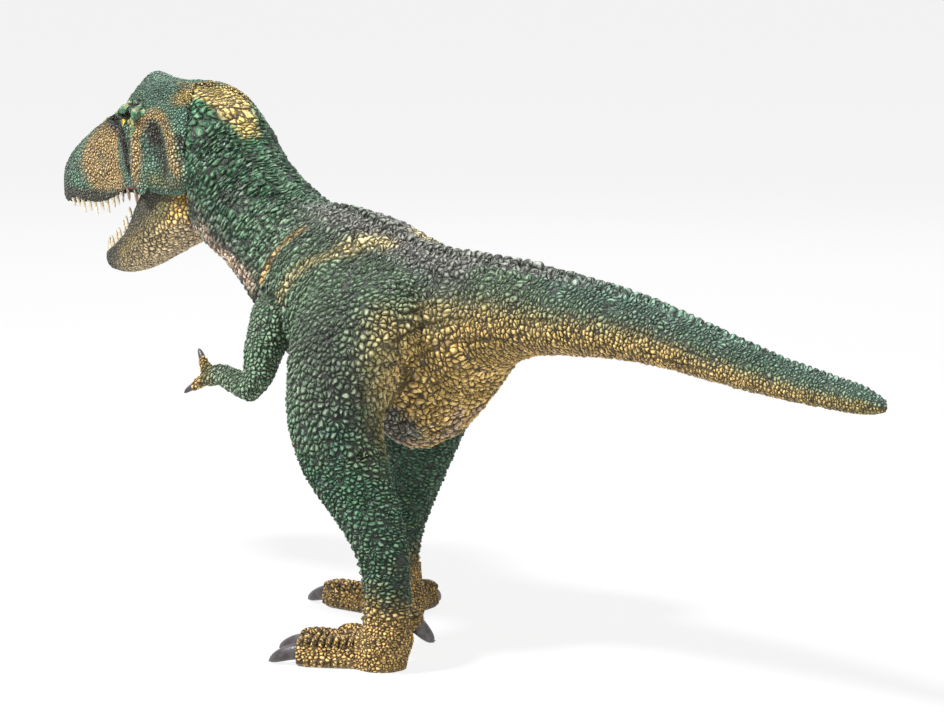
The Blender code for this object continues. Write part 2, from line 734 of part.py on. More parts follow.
def make_palate(paint):
    """The lining of the upper mouth with its vault and teeth."""
    seat = LIP_WALL + FIT_GAP
    palate = palate_space("upper_mouth", seat, PALATE_RECESS - FIT_GAP, LIP_SETBACK, SWING_GAP,
                          PALATE_POWERS)
    palate.data.materials.append(paint)
    gum = seat + TOOTH_RADIUS * GUM_SHARE
    vault = PALATE_RECESS - FIT_GAP - PALATE_THICKNESS
    cut(palate, palate_space("vault", gum, vault, -CUT_OVERRUN, -CUT_OVERRUN), "MANIFOLD")
    root = seat + TOOTH_RADIUS * TOOTH_SETBACK_SHARE
    field = palate_rows(root, 0, LIP_SETBACK, SWING_GAP + TOOTH_LENGTH)
    return join(palate, tooth_row("teeth", field, 2, UPPER_TEETH, -1), "MANIFOLD")


def make_lower_mouth(paint):
    """The floor of the mouth with its tongue and teeth."""
    seat = LIP_WALL + FIT_GAP
    floor = trough_space("lower_mouth", seat, FIT_GAP - TROUGH_DEPTH, -LIP_SETBACK, FLOOR_POWERS)
    floor.data.materials.append(paint)
    join(floor, tongue("tongue"), "MANIFOLD")
    root = seat + TOOTH_RADIUS * TOOTH_SETBACK_SHARE
    field = trough_rows(root, FIT_GAP - TROUGH_DEPTH, -LIP_SETBACK, TOOTH_FIELD_SHARE)
    return join(floor, tooth_row("teeth", field, 1, LOWER_TEETH, 1), "MANIFOLD")


def tongue(name):
    rows = jaw_rows()
    start, end = [rows[0][0] - JAW_LENGTH * share for share in TONGUE_SPAN_SHARES]
    root = (TROUGH_DEPTH - LIP_SETBACK) / 2
    rings = []
    for index, size in enumerate(TONGUE_TAPER_SHARES):
        y = start + (end - start) * index / (len(TONGUE_TAPER_SHARES) - 1)
        row = row_at(rows, 0, y)
        half = min(TONGUE_WIDTH / 2, row[3] - LIP_WALL - 2 * TOOTH_RADIUS * GUM_SHARE) * size
        centre = Vector((0, y, row[1] - LIP_SETBACK))
        high = TONGUE_HEIGHT * size
        rings.append(ring(centre, RIGHT, UP, half, high, root, TONGUE_SIDES))
    return solid(name, rings)


# Legs


def leg_rows(side):
    table = LEFT_LEG_SHARES if side > 0 else RIGHT_LEG_SHARES
    rows = []
    for sideways, forward, height, width, depth, lean in table:
        rows.append((side * sideways * LEG_SPREAD, -forward * LEG_STRIDE, height * HIP_HEIGHT,
                     width * THIGH_WIDTH, depth * THIGH_DEPTH, lean))
    return rows


def leg_form(name, side, grow=0.0, paint=None):
    """The leg from the hip to the sole, without its toes."""
    rings = []
    for x, y, z, width, depth, lean in spline(leg_rows(side), STEPS):
        tip = math.radians(lean)
        back = Vector((0, math.cos(tip), math.sin(tip)))
        thick = depth + grow
        rings.append(ring(Vector((x, y, z)), RIGHT, back, width + grow, thick, thick, LEG_SIDES))
    return solid(name, rings, paint)


def make_leg(side, paint):
    leg = leg_form("left_leg" if side > 0 else "right_leg", side, 0.0, paint)
    for toe in toes(side):
        join(leg, toe, "MANIFOLD")
    join(leg, spur(side), "MANIFOLD")
    ground = 4 * TOE_LENGTH
    cut(leg, box("ground", (-ground, -ground, -ground), (ground, ground, 0)), "MANIFOLD")
    cut(leg, body_piece("clearance", SHOULDER - 1, TAIL_BASE, FIT_GAP), "MANIFOLD")
    return join(leg, leg_peg("peg", side), "MANIFOLD")


def foot_ball(side):
    x, y, z, width, depth, lean = leg_rows(side)[-2]
    return Vector((x, y - BALL_FORWARD_SHARE * depth, 0))


def toes(side):
    table = LEFT_TOE_SHARES if side > 0 else RIGHT_TOE_SHARES
    start = foot_ball(side)
    out = []
    for index, (heading, reach, aside, behind) in enumerate(table):
        turn = math.radians(heading)
        ahead = Vector((side * math.sin(turn), -math.cos(turn), 0))
        across = Vector((ahead.y, -ahead.x, 0))
        root = start + RIGHT * (side * aside * TOE_RADIUS) + BACK * (behind * TOE_RADIUS)
        rings = []
        for along, height, width, depth in TOE_SHARES:
            centre = root + ahead * (along * reach * TOE_LENGTH) + UP * (height * TOE_RADIUS)
            thick = depth * TOE_RADIUS
            rings.append(ring(centre, across, UP, width * TOE_RADIUS, thick, thick, TOE_SIDES, TOE_POWERS))
        out.append(solid("toe%d" % index, rings))
    return out


def spur(side):
    """The small toe on the inner rear of the foot, which hangs clear of the ground."""
    x, y, z, width, depth, lean = leg_rows(side)[-4]
    start = Vector((x - side * width * SPUR_ASIDE_SHARE, y + depth * SPUR_BACK_SHARE, z))
    ahead = Vector(LEFT_SPUR_SHARES if side > 0 else RIGHT_SPUR_SHARES).normalized()
    across = ahead.cross(UP).normalized()
    up = across.cross(ahead)
    rings = []
    for along, size in SPUR_SHARES:
        centre = start + ahead * (along * SPUR_LENGTH)
        radius = size * TOE_RADIUS
        rings.append(ring(centre, across, up, radius, radius, radius, TOE_SIDES))
    return solid("spur", rings)


def leg_peg(name, side, grow=0.0):
    row = leg_rows(side)[2]
    outer = Vector((row[0], row[1], row[2]))
    inner = Vector((side * (LEG_PEG_INNER - grow), row[1], row[2]))
    return rod(name, outer, inner, PEG_RADIUS + grow)


# Arms


def reach(start, shares, length, side):
    """A point outward, forward and down from another, by shares of a length."""
    outward, forward, down = shares
    return start + Vector((side * outward, -forward, -down)) * length


def arm_points(side):
    """Shoulder, elbow, wrist and palm."""
    outward, behind = SHOULDER_SHARES
    torso_front = NECK_FRONT_Y + NECK_LENGTH
    sideways = side * outward * TORSO_WIDTH / 2
    shoulder = Vector((sideways, torso_front + TORSO_LENGTH * behind, SHOULDER_HEIGHT))
    elbow = reach(shoulder, ELBOW_SHARES, ARM_LENGTH, side)
    wrist = reach(elbow, WRIST_SHARES, FOREARM_LENGTH, side)
    palm = reach(wrist, PALM_SHARES, FOREARM_LENGTH, side)
    return shoulder, elbow, wrist, palm


def arm_stations(side):
    """Places down the arm, each with its thickness as a share."""
    shoulder, elbow, wrist, palm = arm_points(side)
    above, cap_size = SHOULDER_CAP_SHARES
    stations = [(shoulder + UP * ARM_RADIUS * above, cap_size)]
    stations += [(shoulder.lerp(elbow, share), size) for share, size in UPPER_ARM_SHARES]
    stations += [(elbow.lerp(wrist, share), size) for share, size in FOREARM_SHARES]
    return stations + [(palm, PALM_SIZE_SHARE)]


def make_arm(side, paint):
    stations = arm_stations(side)
    rings = []
    for index, (place, share) in enumerate(stations):
        before = stations[max(index - 1, 0)][0]
        after = stations[min(index + 1, len(stations) - 1)][0]
        along = (after - before).normalized()
        up = RIGHT.cross(along).normalized()
        across = along.cross(up)
        size = share * ARM_RADIUS
        thick = size * ARM_FLAT_SHARE
        rings.append(ring(place, across, up, size, thick, thick, ARM_SIDES))
    arm = solid("left_arm" if side > 0 else "right_arm", rings, paint)
    for turn in FINGER_TURN_SHARES:
        join(arm, finger(stations[-1][0], turn))
    cut(arm, body_piece("clearance", SHOULDER - 1, TAIL_BASE, FIT_GAP))
    cut(arm, leg_form("clearance", side, FIT_GAP))
    return join(arm, arm_peg("peg", side))


def finger(palm, turn):
    ahead = Vector(turn).normalized()
    across = ahead.orthogonal().normalized()
    up = ahead.cross(across)
    rings = []
    for along, size in FINGER_SHARES:
        centre = palm + ahead * (along * FINGER_LENGTH)
        radius = size * FINGER_RADIUS
        rings.append(ring(centre, across, up, radius, radius, radius, FINGER_SIDES))
    return solid("finger", rings)


def arm_peg(name, side, grow=0.0):
    shoulder = arm_points(side)[0]
    inner = Vector((side * (TORSO_WIDTH / 2 - ARM_PEG_LENGTH - grow), shoulder.y, shoulder.z))
    return rod(name, shoulder, inner, ARM_PEG_RADIUS + grow)


def hinge_jaw(pieces):
    """Hangs the jaw and its lining on an empty that stands on the hinge axis."""
    hinge = bpy.data.objects.new("jaw_hinge", None)
    hinge.location = (0, JAW_PIN_Y, JAW_PIN_Z)
    bpy.context.scene.collection.objects.link(hinge)
    bpy.context.view_layer.update()
    for piece in pieces:
        piece.parent = hinge
        piece.matrix_parent_inverse = hinge.matrix_world.inverted()


def centre_figure():
    """Moves everything so that the middle of the figure's box stands over the origin."""
    items = [item for item in bpy.context.scene.objects if item.type == "MESH"]
    corners = [item.matrix_world @ v.co for item in items for v in item.data.vertices]
    middle_x = (min(c.x for c in corners) + max(c.x for c in corners)) / 2
    middle_y = (min(c.y for c in corners) + max(c.y for c in corners)) / 2
    for item in bpy.context.scene.objects:
        if item.parent is None:
            item.location.x -= middle_x
            item.location.y -= middle_y
    return middle_x, middle_y


def main():
    clear_scene()
    skin = material("green_skin", (0.055, 0.135, 0.075), 0.6)
    tail_skin = material("tail_skin", (0.12, 0.13, 0.06), 0.6)
    leg_skin = material("leg_skin", (0.06, 0.15, 0.09), 0.6)
    head_skin = material("head_skin", (0.10, 0.15, 0.08), 0.6)
    jaw_skin = material("jaw_skin", (0.42, 0.26, 0.06), 0.6)
    mouth = material("mouth_pink", (0.45, 0.12, 0.10), 0.45)
    steel = material("pin_steel", (0.55, 0.55, 0.55), 0.35)
    pieces = [make_neck(skin), make_torso(skin), make_tail(tail_skin), make_head(head_skin)]
    jaw = make_jaw(jaw_skin)
    floor = make_lower_mouth(mouth)
    pieces += [make_palate(mouth), make_jaw_pin(steel)]
    for side in (1, -1):
        pieces += [make_leg(side, leg_skin), make_arm(side, skin)]
    for piece in pieces + [jaw, floor]:
        tidy(piece)
    hinge_jaw([jaw, floor])
    centre_figure()


main()
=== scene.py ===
"""Looks of a toy dinosaur figure: a sculpted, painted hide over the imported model.

Lengths are in millimetres until a mesh is made. Pixels are places in the photograph, seen by the camera below, so
that folds and paint lie where the photograph shows them. What lies on the left side is mirrored to the right.
"""
import math

import bmesh
import bpy
import numpy as np
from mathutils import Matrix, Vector
from mathutils.bvhtree import BVHTree


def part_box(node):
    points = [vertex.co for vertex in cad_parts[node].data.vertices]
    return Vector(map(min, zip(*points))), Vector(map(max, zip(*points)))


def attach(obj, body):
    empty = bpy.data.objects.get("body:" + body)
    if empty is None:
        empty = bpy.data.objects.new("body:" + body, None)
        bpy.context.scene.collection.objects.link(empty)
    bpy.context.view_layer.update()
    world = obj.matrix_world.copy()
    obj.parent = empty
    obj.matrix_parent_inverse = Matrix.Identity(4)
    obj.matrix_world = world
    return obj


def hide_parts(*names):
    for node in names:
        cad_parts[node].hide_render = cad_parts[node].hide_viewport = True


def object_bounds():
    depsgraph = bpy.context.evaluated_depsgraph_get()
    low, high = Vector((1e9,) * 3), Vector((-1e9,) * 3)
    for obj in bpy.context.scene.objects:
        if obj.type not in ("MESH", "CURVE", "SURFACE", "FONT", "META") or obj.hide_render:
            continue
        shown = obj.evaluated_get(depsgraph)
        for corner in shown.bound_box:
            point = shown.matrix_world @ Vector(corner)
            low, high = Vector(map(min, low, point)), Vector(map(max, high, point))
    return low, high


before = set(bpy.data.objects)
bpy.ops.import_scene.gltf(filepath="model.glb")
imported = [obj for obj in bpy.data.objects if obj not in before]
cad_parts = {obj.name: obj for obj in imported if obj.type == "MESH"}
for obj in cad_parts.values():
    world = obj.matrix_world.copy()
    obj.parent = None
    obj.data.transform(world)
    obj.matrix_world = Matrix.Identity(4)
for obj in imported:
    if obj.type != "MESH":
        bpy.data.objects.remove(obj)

CAD_BOX = [list(map(float, corner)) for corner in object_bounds()]
MM = 0.001

# The camera at the photograph's angle, and the photograph's size in pixels
CAMERA_AT = np.array((556.63, 572.32, 181.34))
CAMERA_AIM = np.array((-3.555, 12.144, 70.0))
LENS, SENSOR = 130.0, 36.0
WIDE, HIGH = 944, 722

# x of the middle plane of neck, torso and tail
MIDDLE = -3.883
# Spine from the neck to the tip of the tail: y, z
SPINE = (
    (-86.2, 112.0), (-79.0, 108.9), (-70.0, 103.2), (-60.1, 96.9), (-50.2, 91.2), (-41.2, 86.0), (-31.3, 83.0),
    (-19.2, 80.0), (-7.0, 76.5), (4.4, 77.5), (16.6, 80.0), (27.2, 82.6), (34.8, 83.2), (46.7, 82.8), (60.5, 82.2),
    (75.4, 80.5), (91.2, 77.5), (106.1, 75.0), (119.9, 73.5), (128.9, 72.7), (134.5, 72.2))

# CAD nodes under the body's hide, each with the name of a material slot
BODY_SLOTS = dict(torso="green_skin", neck="green_skin", tail="tail_skin", left_leg="leg_skin",
                  right_leg="leg_skin", left_arm="leg_skin", right_arm="leg_skin")
BODY_NODES = tuple(BODY_SLOTS)
VOXEL, HEAD_VOXEL, MOUTH_VOXEL = 0.28, 0.23, 0.22
WELD = 0.000002


# Mesh arrays


def shape_arrays(shape):
    """Vertices, normals and triangles of a bmesh, which is freed."""
    bmesh.ops.triangulate(shape, faces=shape.faces)
    shape.normal_update()
    shape.verts.index_update()
    verts, normals = (np.array([getattr(v, key)[:] for v in shape.verts]) for key in ("co", "normal"))
    faces = np.array([[v.index for v in f.verts] for f in shape.faces])
    shape.free()
    return verts, normals, faces


def node_arrays(name, grow=0.0):
    """A CAD node's vertices in millimetres, grown along its normals, and its triangles."""
    shape = bmesh.new()
    shape.from_mesh(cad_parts[name].data)
    bmesh.ops.remove_doubles(shape, verts=shape.verts, dist=WELD)
    verts, normals, faces = shape_arrays(shape)
    return verts / MM + normals * grow, faces


def join_arrays(parts):
    starts = np.cumsum([0] + [len(points) for points, sides in parts])
    return (np.vstack([points for points, sides in parts]),
            np.vstack([np.asarray(sides) + start for (points, sides), start in zip(parts, starts)]))


def mesh_of(name, verts, faces):
    """A mesh from arrays; quicker than from_pydata for large ones."""
    mesh = bpy.data.meshes.new(name)
    sides = faces.shape[1]
    mesh.vertices.add(len(verts))
    mesh.vertices.foreach_set("co", np.asarray(verts, np.float32).ravel())
    mesh.loops.add(faces.size)
    mesh.loops.foreach_set("vertex_index", np.asarray(faces, np.int32).ravel())
    mesh.polygons.add(len(faces))
    mesh.polygons.foreach_set("loop_start", np.arange(0, faces.size, sides, dtype=np.int32))
    mesh.update(calc_edges=True)
    mesh.validate()
    return mesh


def placed(name, data):
    """A new object with the given mesh, lamp or camera, in the scene."""
    item = bpy.data.objects.new(name, data)
    bpy.context.scene.collection.objects.link(item)
    return item


def drop(item):
    mesh = item.data
    bpy.data.objects.remove(item, do_unlink=True)
    bpy.data.meshes.remove(mesh)


def evaluated(item):
    bpy.context.view_layer.update()
    return item.evaluated_get(bpy.context.evaluated_depsgraph_get()).data


def values_of(items, key, width=1, kind=np.float32):
    """One value or row of values for each item of a mesh."""
    out = np.empty(len(items) * width, kind)
    items.foreach_get(key, out)
    return out.reshape(-1, width) if width > 1 else out


def remeshed(verts, faces, voxel):
    """One quad skin round overlapping solids, without the shells that lie inside it."""
    item = placed("work", mesh_of("work", verts, faces))
    step = item.modifiers.new("remesh", "REMESH")
    step.mode, step.voxel_size = "VOXEL", voxel
    shown = evaluated(item)
    points, corners = values_of(shown.vertices, "co", 3), values_of(shown.loops, "vertex_index", kind=np.int32)
    drop(item)
    return outer_shell(points.astype(float), corners.reshape(-1, 4))


def edges_of(faces):
    pairs = np.vstack([np.stack((faces[:, i], faces[:, (i + 1) % faces.shape[1]]), 1)
                       for i in range(faces.shape[1])])
    pairs.sort(axis=1)
    keys = np.unique(pairs[:, 0].astype(np.int64) << 32 | pairs[:, 1])
    return np.stack((keys >> 32, keys & 0xFFFFFFFF), 1).astype(np.int64)


def outer_shell(verts, faces):
    """Keeps the shell that holds the leftmost point."""
    edges = edges_of(faces)
    label = np.arange(len(verts))
    while True:
        low = np.minimum(label[edges[:, 0]], label[edges[:, 1]])
        fresh = label.copy()
        np.minimum.at(fresh, label[edges[:, 0]], low)
        np.minimum.at(fresh, label[edges[:, 1]], low)
        fresh = fresh[fresh]
        if (fresh == label).all():
            break
        label = fresh
    keep = label == label[np.argmin(verts[:, 0])]
    number = np.cumsum(keep) - 1
    return verts[keep], number[faces[keep[faces[:, 0]]]]


class Smoother:
    """Averages values over each vertex's neighbours."""

    def __init__(self, verts, faces):
        self.edges = edges_of(faces)
        self.item = placed("smooth", mesh_of("smooth", verts, faces))

    def smooth(self, values, rounds):
        """Smooths one or three columns, as the places of a work mesh's vertices."""
        flat = values.reshape(len(values), -1)
        wide = np.zeros((len(values), 3), np.float32)
        wide[:, :flat.shape[1]] = flat
        self.item.data.vertices.foreach_set("co", wide.ravel())
        self.item.data.update()
        step = self.item.modifiers.new("smooth", "SMOOTH")
        step.factor, step.iterations = 0.5, rounds
        out = values_of(evaluated(self.item).vertices, "co", 3)
        self.item.modifiers.remove(step)
        return out[:, :flat.shape[1]].astype(float).reshape(values.shape)

    def keep_size(self, points, rounds):
        """Rounds off facets without shrinking the form."""
        once = self.smooth(points, rounds)
        return once + self.smooth(points - once, rounds)


def normals_of(verts, faces):
    a, b, c, d = (verts[faces[:, i]] for i in range(4))
    across = np.cross(c - a, d - b)
    out = np.stack([sum(np.bincount(faces[:, corner], across[:, axis], len(verts)) for corner in range(4))
                    for axis in range(3)], 1)
    return out / np.maximum(np.linalg.norm(out, axis=1, keepdims=True), 1e-12)


# Curves, distances and noise


def spine_place(points):
    """Side, up and along the spine for each point; along is blended over the stretches of the spine."""
    flat = points.copy()
    flat[:, 0] = MIDDLE
    line = np.array([(MIDDLE, y, z) for y, z in SPINE])
    spans = np.diff(line, axis=0)
    lengths = np.linalg.norm(spans, axis=1)
    passed = np.concatenate(([0], np.cumsum(lengths)))
    best = np.full(len(points), np.inf)
    along, weights, height = np.zeros((3, len(points)))
    for index, (start, span, length) in enumerate(zip(line, spans, lengths)):
        t = (flat - start) @ span / length ** 2
        t = np.clip(t, 0 if index else -np.inf, 1 if index < len(spans) - 1 else np.inf)
        place = start + t[:, None] * span
        distance = np.linalg.norm(flat - place, axis=1)
        weight = 1 / (distance + 0.05) ** 10
        along += weight * (passed[index] + t * length)
        weights += weight
        closer = distance < best
        best[closer] = distance[closer]
        height[closer] = place[closer, 2]
    return points[:, 0] - MIDDLE, np.where(flat[:, 2] >= height, best, -best), along / weights


def ramp(value, low, high):
    t = np.clip((value - low) / (high - low), 0, 1)
    return t * t * (3 - 2 * t)


def plug(tree, value, socket):
    """Links a socket, or sets any other value."""
    if hasattr(value, "is_output"):
        tree.links.new(value, socket)
    else:
        socket.default_value = value


def add_node(tree, kind, inputs=(), **settings):
    node = tree.nodes.new(kind)
    for key, value in settings.items():
        setattr(node, key, value)
    for key, value in dict(inputs).items():
        plug(tree, value, node.inputs[key])
    return node


def texture_values(points, kind, outputs, inputs=(), **settings):
    """Reads outputs of a procedural texture at points in space, through a geometry node tree."""
    tree = bpy.data.node_groups.new("read", "GeometryNodeTree")
    for way in ("INPUT", "OUTPUT"):
        tree.interface.new_socket("Geometry", in_out=way, socket_type="NodeSocketGeometry")
    place = add_node(tree, "GeometryNodeInputPosition").outputs[0]
    texture = add_node(tree, kind, {"Vector": place, "Scale": 1.0, **inputs}, **settings)
    flow = add_node(tree, "NodeGroupInput").outputs[0]
    wide = {name: texture.outputs[name].type != "VALUE" for name in outputs}
    for name in outputs:
        store = add_node(tree, "GeometryNodeStoreNamedAttribute", {0: flow, "Name": "read_" + name},
                         data_type="FLOAT_VECTOR" if wide[name] else "FLOAT", domain="POINT")
        plug(tree, texture.outputs[name], [s for s in store.inputs if s.name == "Value" and s.enabled][0])
        flow = store.outputs[0]
    add_node(tree, "NodeGroupOutput", {0: flow})
    mesh = bpy.data.meshes.new("read")
    mesh.vertices.add(len(points))
    mesh.vertices.foreach_set("co", np.asarray(points, np.float32).ravel())
    item = placed("read", mesh)
    item.modifiers.new("read", "NODES").node_group = tree
    layers = evaluated(item).attributes
    out = [values_of(layers["read_" + name].data, *(("vector", 3) if wide[name] else ("value", 1))).astype(float)
           for name in outputs]
    drop(item)
    bpy.data.node_groups.remove(tree)
    return out


def noise(points, size):
    """Smooth noise from -1 to 1 with the given feature size."""
    value, = texture_values(points / size, "ShaderNodeTexNoise", ["Fac"], {"Detail": 2.0})
    return np.clip((value - 0.5) * 3.2, -1, 1)


# How far scales stray from a grid
RANDOMNESS = 0.85
# The way, in grain coordinates, to a scale's raised free edge, which overlaps the next scale
LEAN = (0.0, -0.45, 0.90)
# Turns the axes of the world so that the free edge lies behind and below, as on the body
FLIP = np.array((1.0, -1.0, -1.0))


def cells(grain):
    """Height of the scales at grain coordinates, from 0 in the grooves to about 1, and a random value for each."""
    def read(feature, *outputs):
        return texture_values(grain, "ShaderNodeTexVoronoi", outputs, {"Randomness": RANDOMNESS}, feature=feature)
    edge, = read("DISTANCE_TO_EDGE", "Distance")
    middle, colour, centre = read("F1", "Distance", "Color", "Position")
    rim = np.clip(edge / 0.36, 0, 1)
    dome = np.sqrt(rim * (2 - rim)) * np.clip(1 - (middle / 1.05) ** 2, 0, 1)
    return dome * (1 + 0.9 * np.clip((grain - centre) @ np.array(LEAN), -0.5, 0.5)), colour[:, 1]


def warped(grain, points, amount=0.38):
    """Bends the rows of cells a little, so that they look grown."""
    wave = np.column_stack([noise(points + shift, 2.6) for shift in (0.0, 31.7, 67.3)])
    return grain + amount * wave


# Places given in pixels of the photograph

# A pixel beside the figure takes the place nearest to its ray, tried at these distances from the camera
RAY_STEPS = (760, 860, 2)


def pixel_ray(u, v):
    """Where the camera stands, and the way from there through a pixel."""
    back = CAMERA_AT - CAMERA_AIM
    back = back / np.linalg.norm(back)
    right = np.cross((0, 0, 1), back)
    right = right / np.linalg.norm(right)
    scale = LENS / SENSOR * WIDE
    way = right * (u - WIDE / 2) / scale - np.cross(back, right) * (v - HIGH / 2) / scale - back
    return Vector(CAMERA_AT), Vector(way).normalized()


class Surface:
    """A skin to place things on, by pixel or by point; each answer is a place and the normal there."""

    def __init__(self, verts, faces):
        self.tree = BVHTree.FromPolygons([tuple(v) for v in verts], [tuple(f) for f in faces])

    def at_pixel(self, u, v):
        start, way = pixel_ray(u, v)
        hit = self.tree.ray_cast(start, way)
        if hit[0] is None:
            hit = min((self.tree.find_nearest(start + way * step) for step in range(*RAY_STEPS)), key=lambda h: h[3])
        return np.array(hit[0]), np.array(hit[1])

    def nearest(self, point):
        hit = self.tree.find_nearest(Vector(point))
        return np.array(hit[0]), np.array(hit[1])

    def other_side(self, point):
        return self.nearest((2 * MIDDLE - point[0], point[1], point[2]))

    def other_line(self, line):
        return np.array([self.other_side(point)[0] for point in line])


def dense_line(surface, pixels, step=0.5):
    """A line through pixels on the surface, with a point every step."""
    points = [surface.at_pixel(*pixel)[0] for pixel in smooth_pixels(pixels)]
    out = [points[0]]
    for a, b in zip(points, points[1:]):
        count = max(1, int(np.linalg.norm(b - a) / step))
        out += [a + (b - a) * (i + 1) / count for i in range(count)]
    return np.array(out)


def smooth_pixels(pixels, steps=5):
    out = []
    last = len(pixels) - 1
    for i in range(last):
        a, b, c, d = (np.array(pixels[min(max(j, 0), last)], float) for j in (i - 1, i, i + 1, i + 2))
        for k in range(steps):
            t = k / steps
            out.append(0.5 * (2 * b + (c - a) * t + (2 * a - 5 * b + 4 * c - d) * t * t
                              + (3 * b - a - 3 * c + d) * t ** 3))
    out.append(np.array(pixels[-1], float))
    return out


def line_distance(verts, line, reach):
    """Distance from each vertex to a dense line, and the share along it; far ones get the reach."""
    low, high = line.min(0) - reach, line.max(0) + reach
    inside = np.flatnonzero(((verts > low) & (verts < high)).all(1))
    distance = np.full(len(verts), float(reach))
    share = np.zeros(len(verts))
    for block in np.array_split(inside, max(1, len(inside) * len(line) // 4000000)):
        if len(block) == 0:
            continue
        gap = np.linalg.norm(verts[block][:, None, :] - line[None], axis=2)
        index = gap.argmin(1)
        distance[block] = gap[np.arange(len(block)), index]
        share[block] = index / (len(line) - 1)
    return distance, share


# The body's hide: one skin round torso, neck, tail, legs and arms


def counted(places, at, pitch, fine):
    """How many cells of a changing pitch lie before each place."""
    total = np.concatenate(([0], np.cumsum(np.diff(fine) / np.interp(fine[1:], at, pitch))))
    return np.interp(places, fine, total)


# Along the spine: place, cell size round the body and along it, relief of a cell
BODY_CELLS = np.array((
    (0, 1.9, 0.95, 0.28), (20, 2.5, 1.05, 0.32), (30, 2.6, 1.08, 0.34), (45, 2.05, 1.15, 0.44),
    (62, 1.50, 1.30, 0.56), (95, 1.45, 1.35, 0.56), (115, 1.30, 1.20, 0.50), (135, 1.22, 1.12, 0.46),
    (160, 1.15, 1.05, 0.42), (185, 1.02, 0.95, 0.36), (205, 0.92, 0.86, 0.30), (230, 0.80, 0.76, 0.24))).T
# Cell size, relief and a shift of the grain for the limbs
THIGH, SHIN = (1.42, 0.56, 60), ((1.45, 1.45, 0.92), 0.52, 40)
FOOT, ARM = ((0.90, 1.05, 0.72), 0.34, 80), (1.05, 0.30, 120)
SHIN_TOP, FOOT_TOP = 50, 13.0


class Hide:
    """Holds the arrays of one skin while it is sculpted and painted."""

    def __init__(self, solids, voxel, rounds, fine=None):
        self.verts, self.faces = remeshed(*join_arrays(solids), voxel)
        self.smoother = Smoother(self.verts, self.faces)
        rounded = self.smoother.keep_size(self.verts, rounds)
        if fine is not None:
            share = fine(self.verts)[:, None]
            rounded = rounded * (1 - share) + self.smoother.keep_size(self.verts, 6) * share
        self.verts = rounded
        self.refresh()
        count = len(self.verts)
        self.push, self.wash, self.bare = np.zeros((3, count))
        self.grain, self.paint = np.zeros((2, count, 3))
        self.ink = np.full(count, 0.45)

    def refresh(self):
        self.normals = normals_of(self.verts, self.faces)

    def surface(self):
        return Surface(self.verts, self.faces)

    def lift(self, rounds=0):
        """Moves the skin along its normals by what has been gathered in push."""
        push = self.smoother.smooth(self.push, rounds) if rounds else self.push
        self.verts = self.verts + self.normals * push[:, None]
        self.push = np.zeros(len(self.verts))
        self.refresh()

    def done(self):
        drop(self.smoother.item)
        return self

    def darken(self, wash):
        self.wash = np.maximum(self.wash, wash)


def crease(hide, surface, depth, width, pixels):
    """A sunk line with slightly raised lips and a dark wash in it, along pixels, and its mirror image."""
    line = dense_line(surface, pixels)
    for path in (line, surface.other_line(line)):
        distance, share = line_distance(hide.verts, path, width * 4)
        fade = np.clip(np.minimum(share, 1 - share) * 6, 0, 1) ** 0.5
        sunk = np.exp(-(distance / width) ** 2) * fade
        lip = np.exp(-((distance - 1.9 * width) / width) ** 2) * fade
        hide.push += (-sunk + 0.35 * lip) * depth
        hide.darken(sunk * 0.9)


def swell(hide, centre, radii, height):
    """A soft rise (or a hollow, with a negative height) about a point."""
    gap = np.linalg.norm((hide.verts - centre) / np.asarray(radii, float), axis=1)
    hide.push += height * np.exp(-gap ** 2)


def swell_pair(hide, surface, pixel, radii, height):
    centre = surface.at_pixel(*pixel)[0]
    for place in (centre, surface.other_side(centre)[0]):
        swell(hide, place, radii, height)


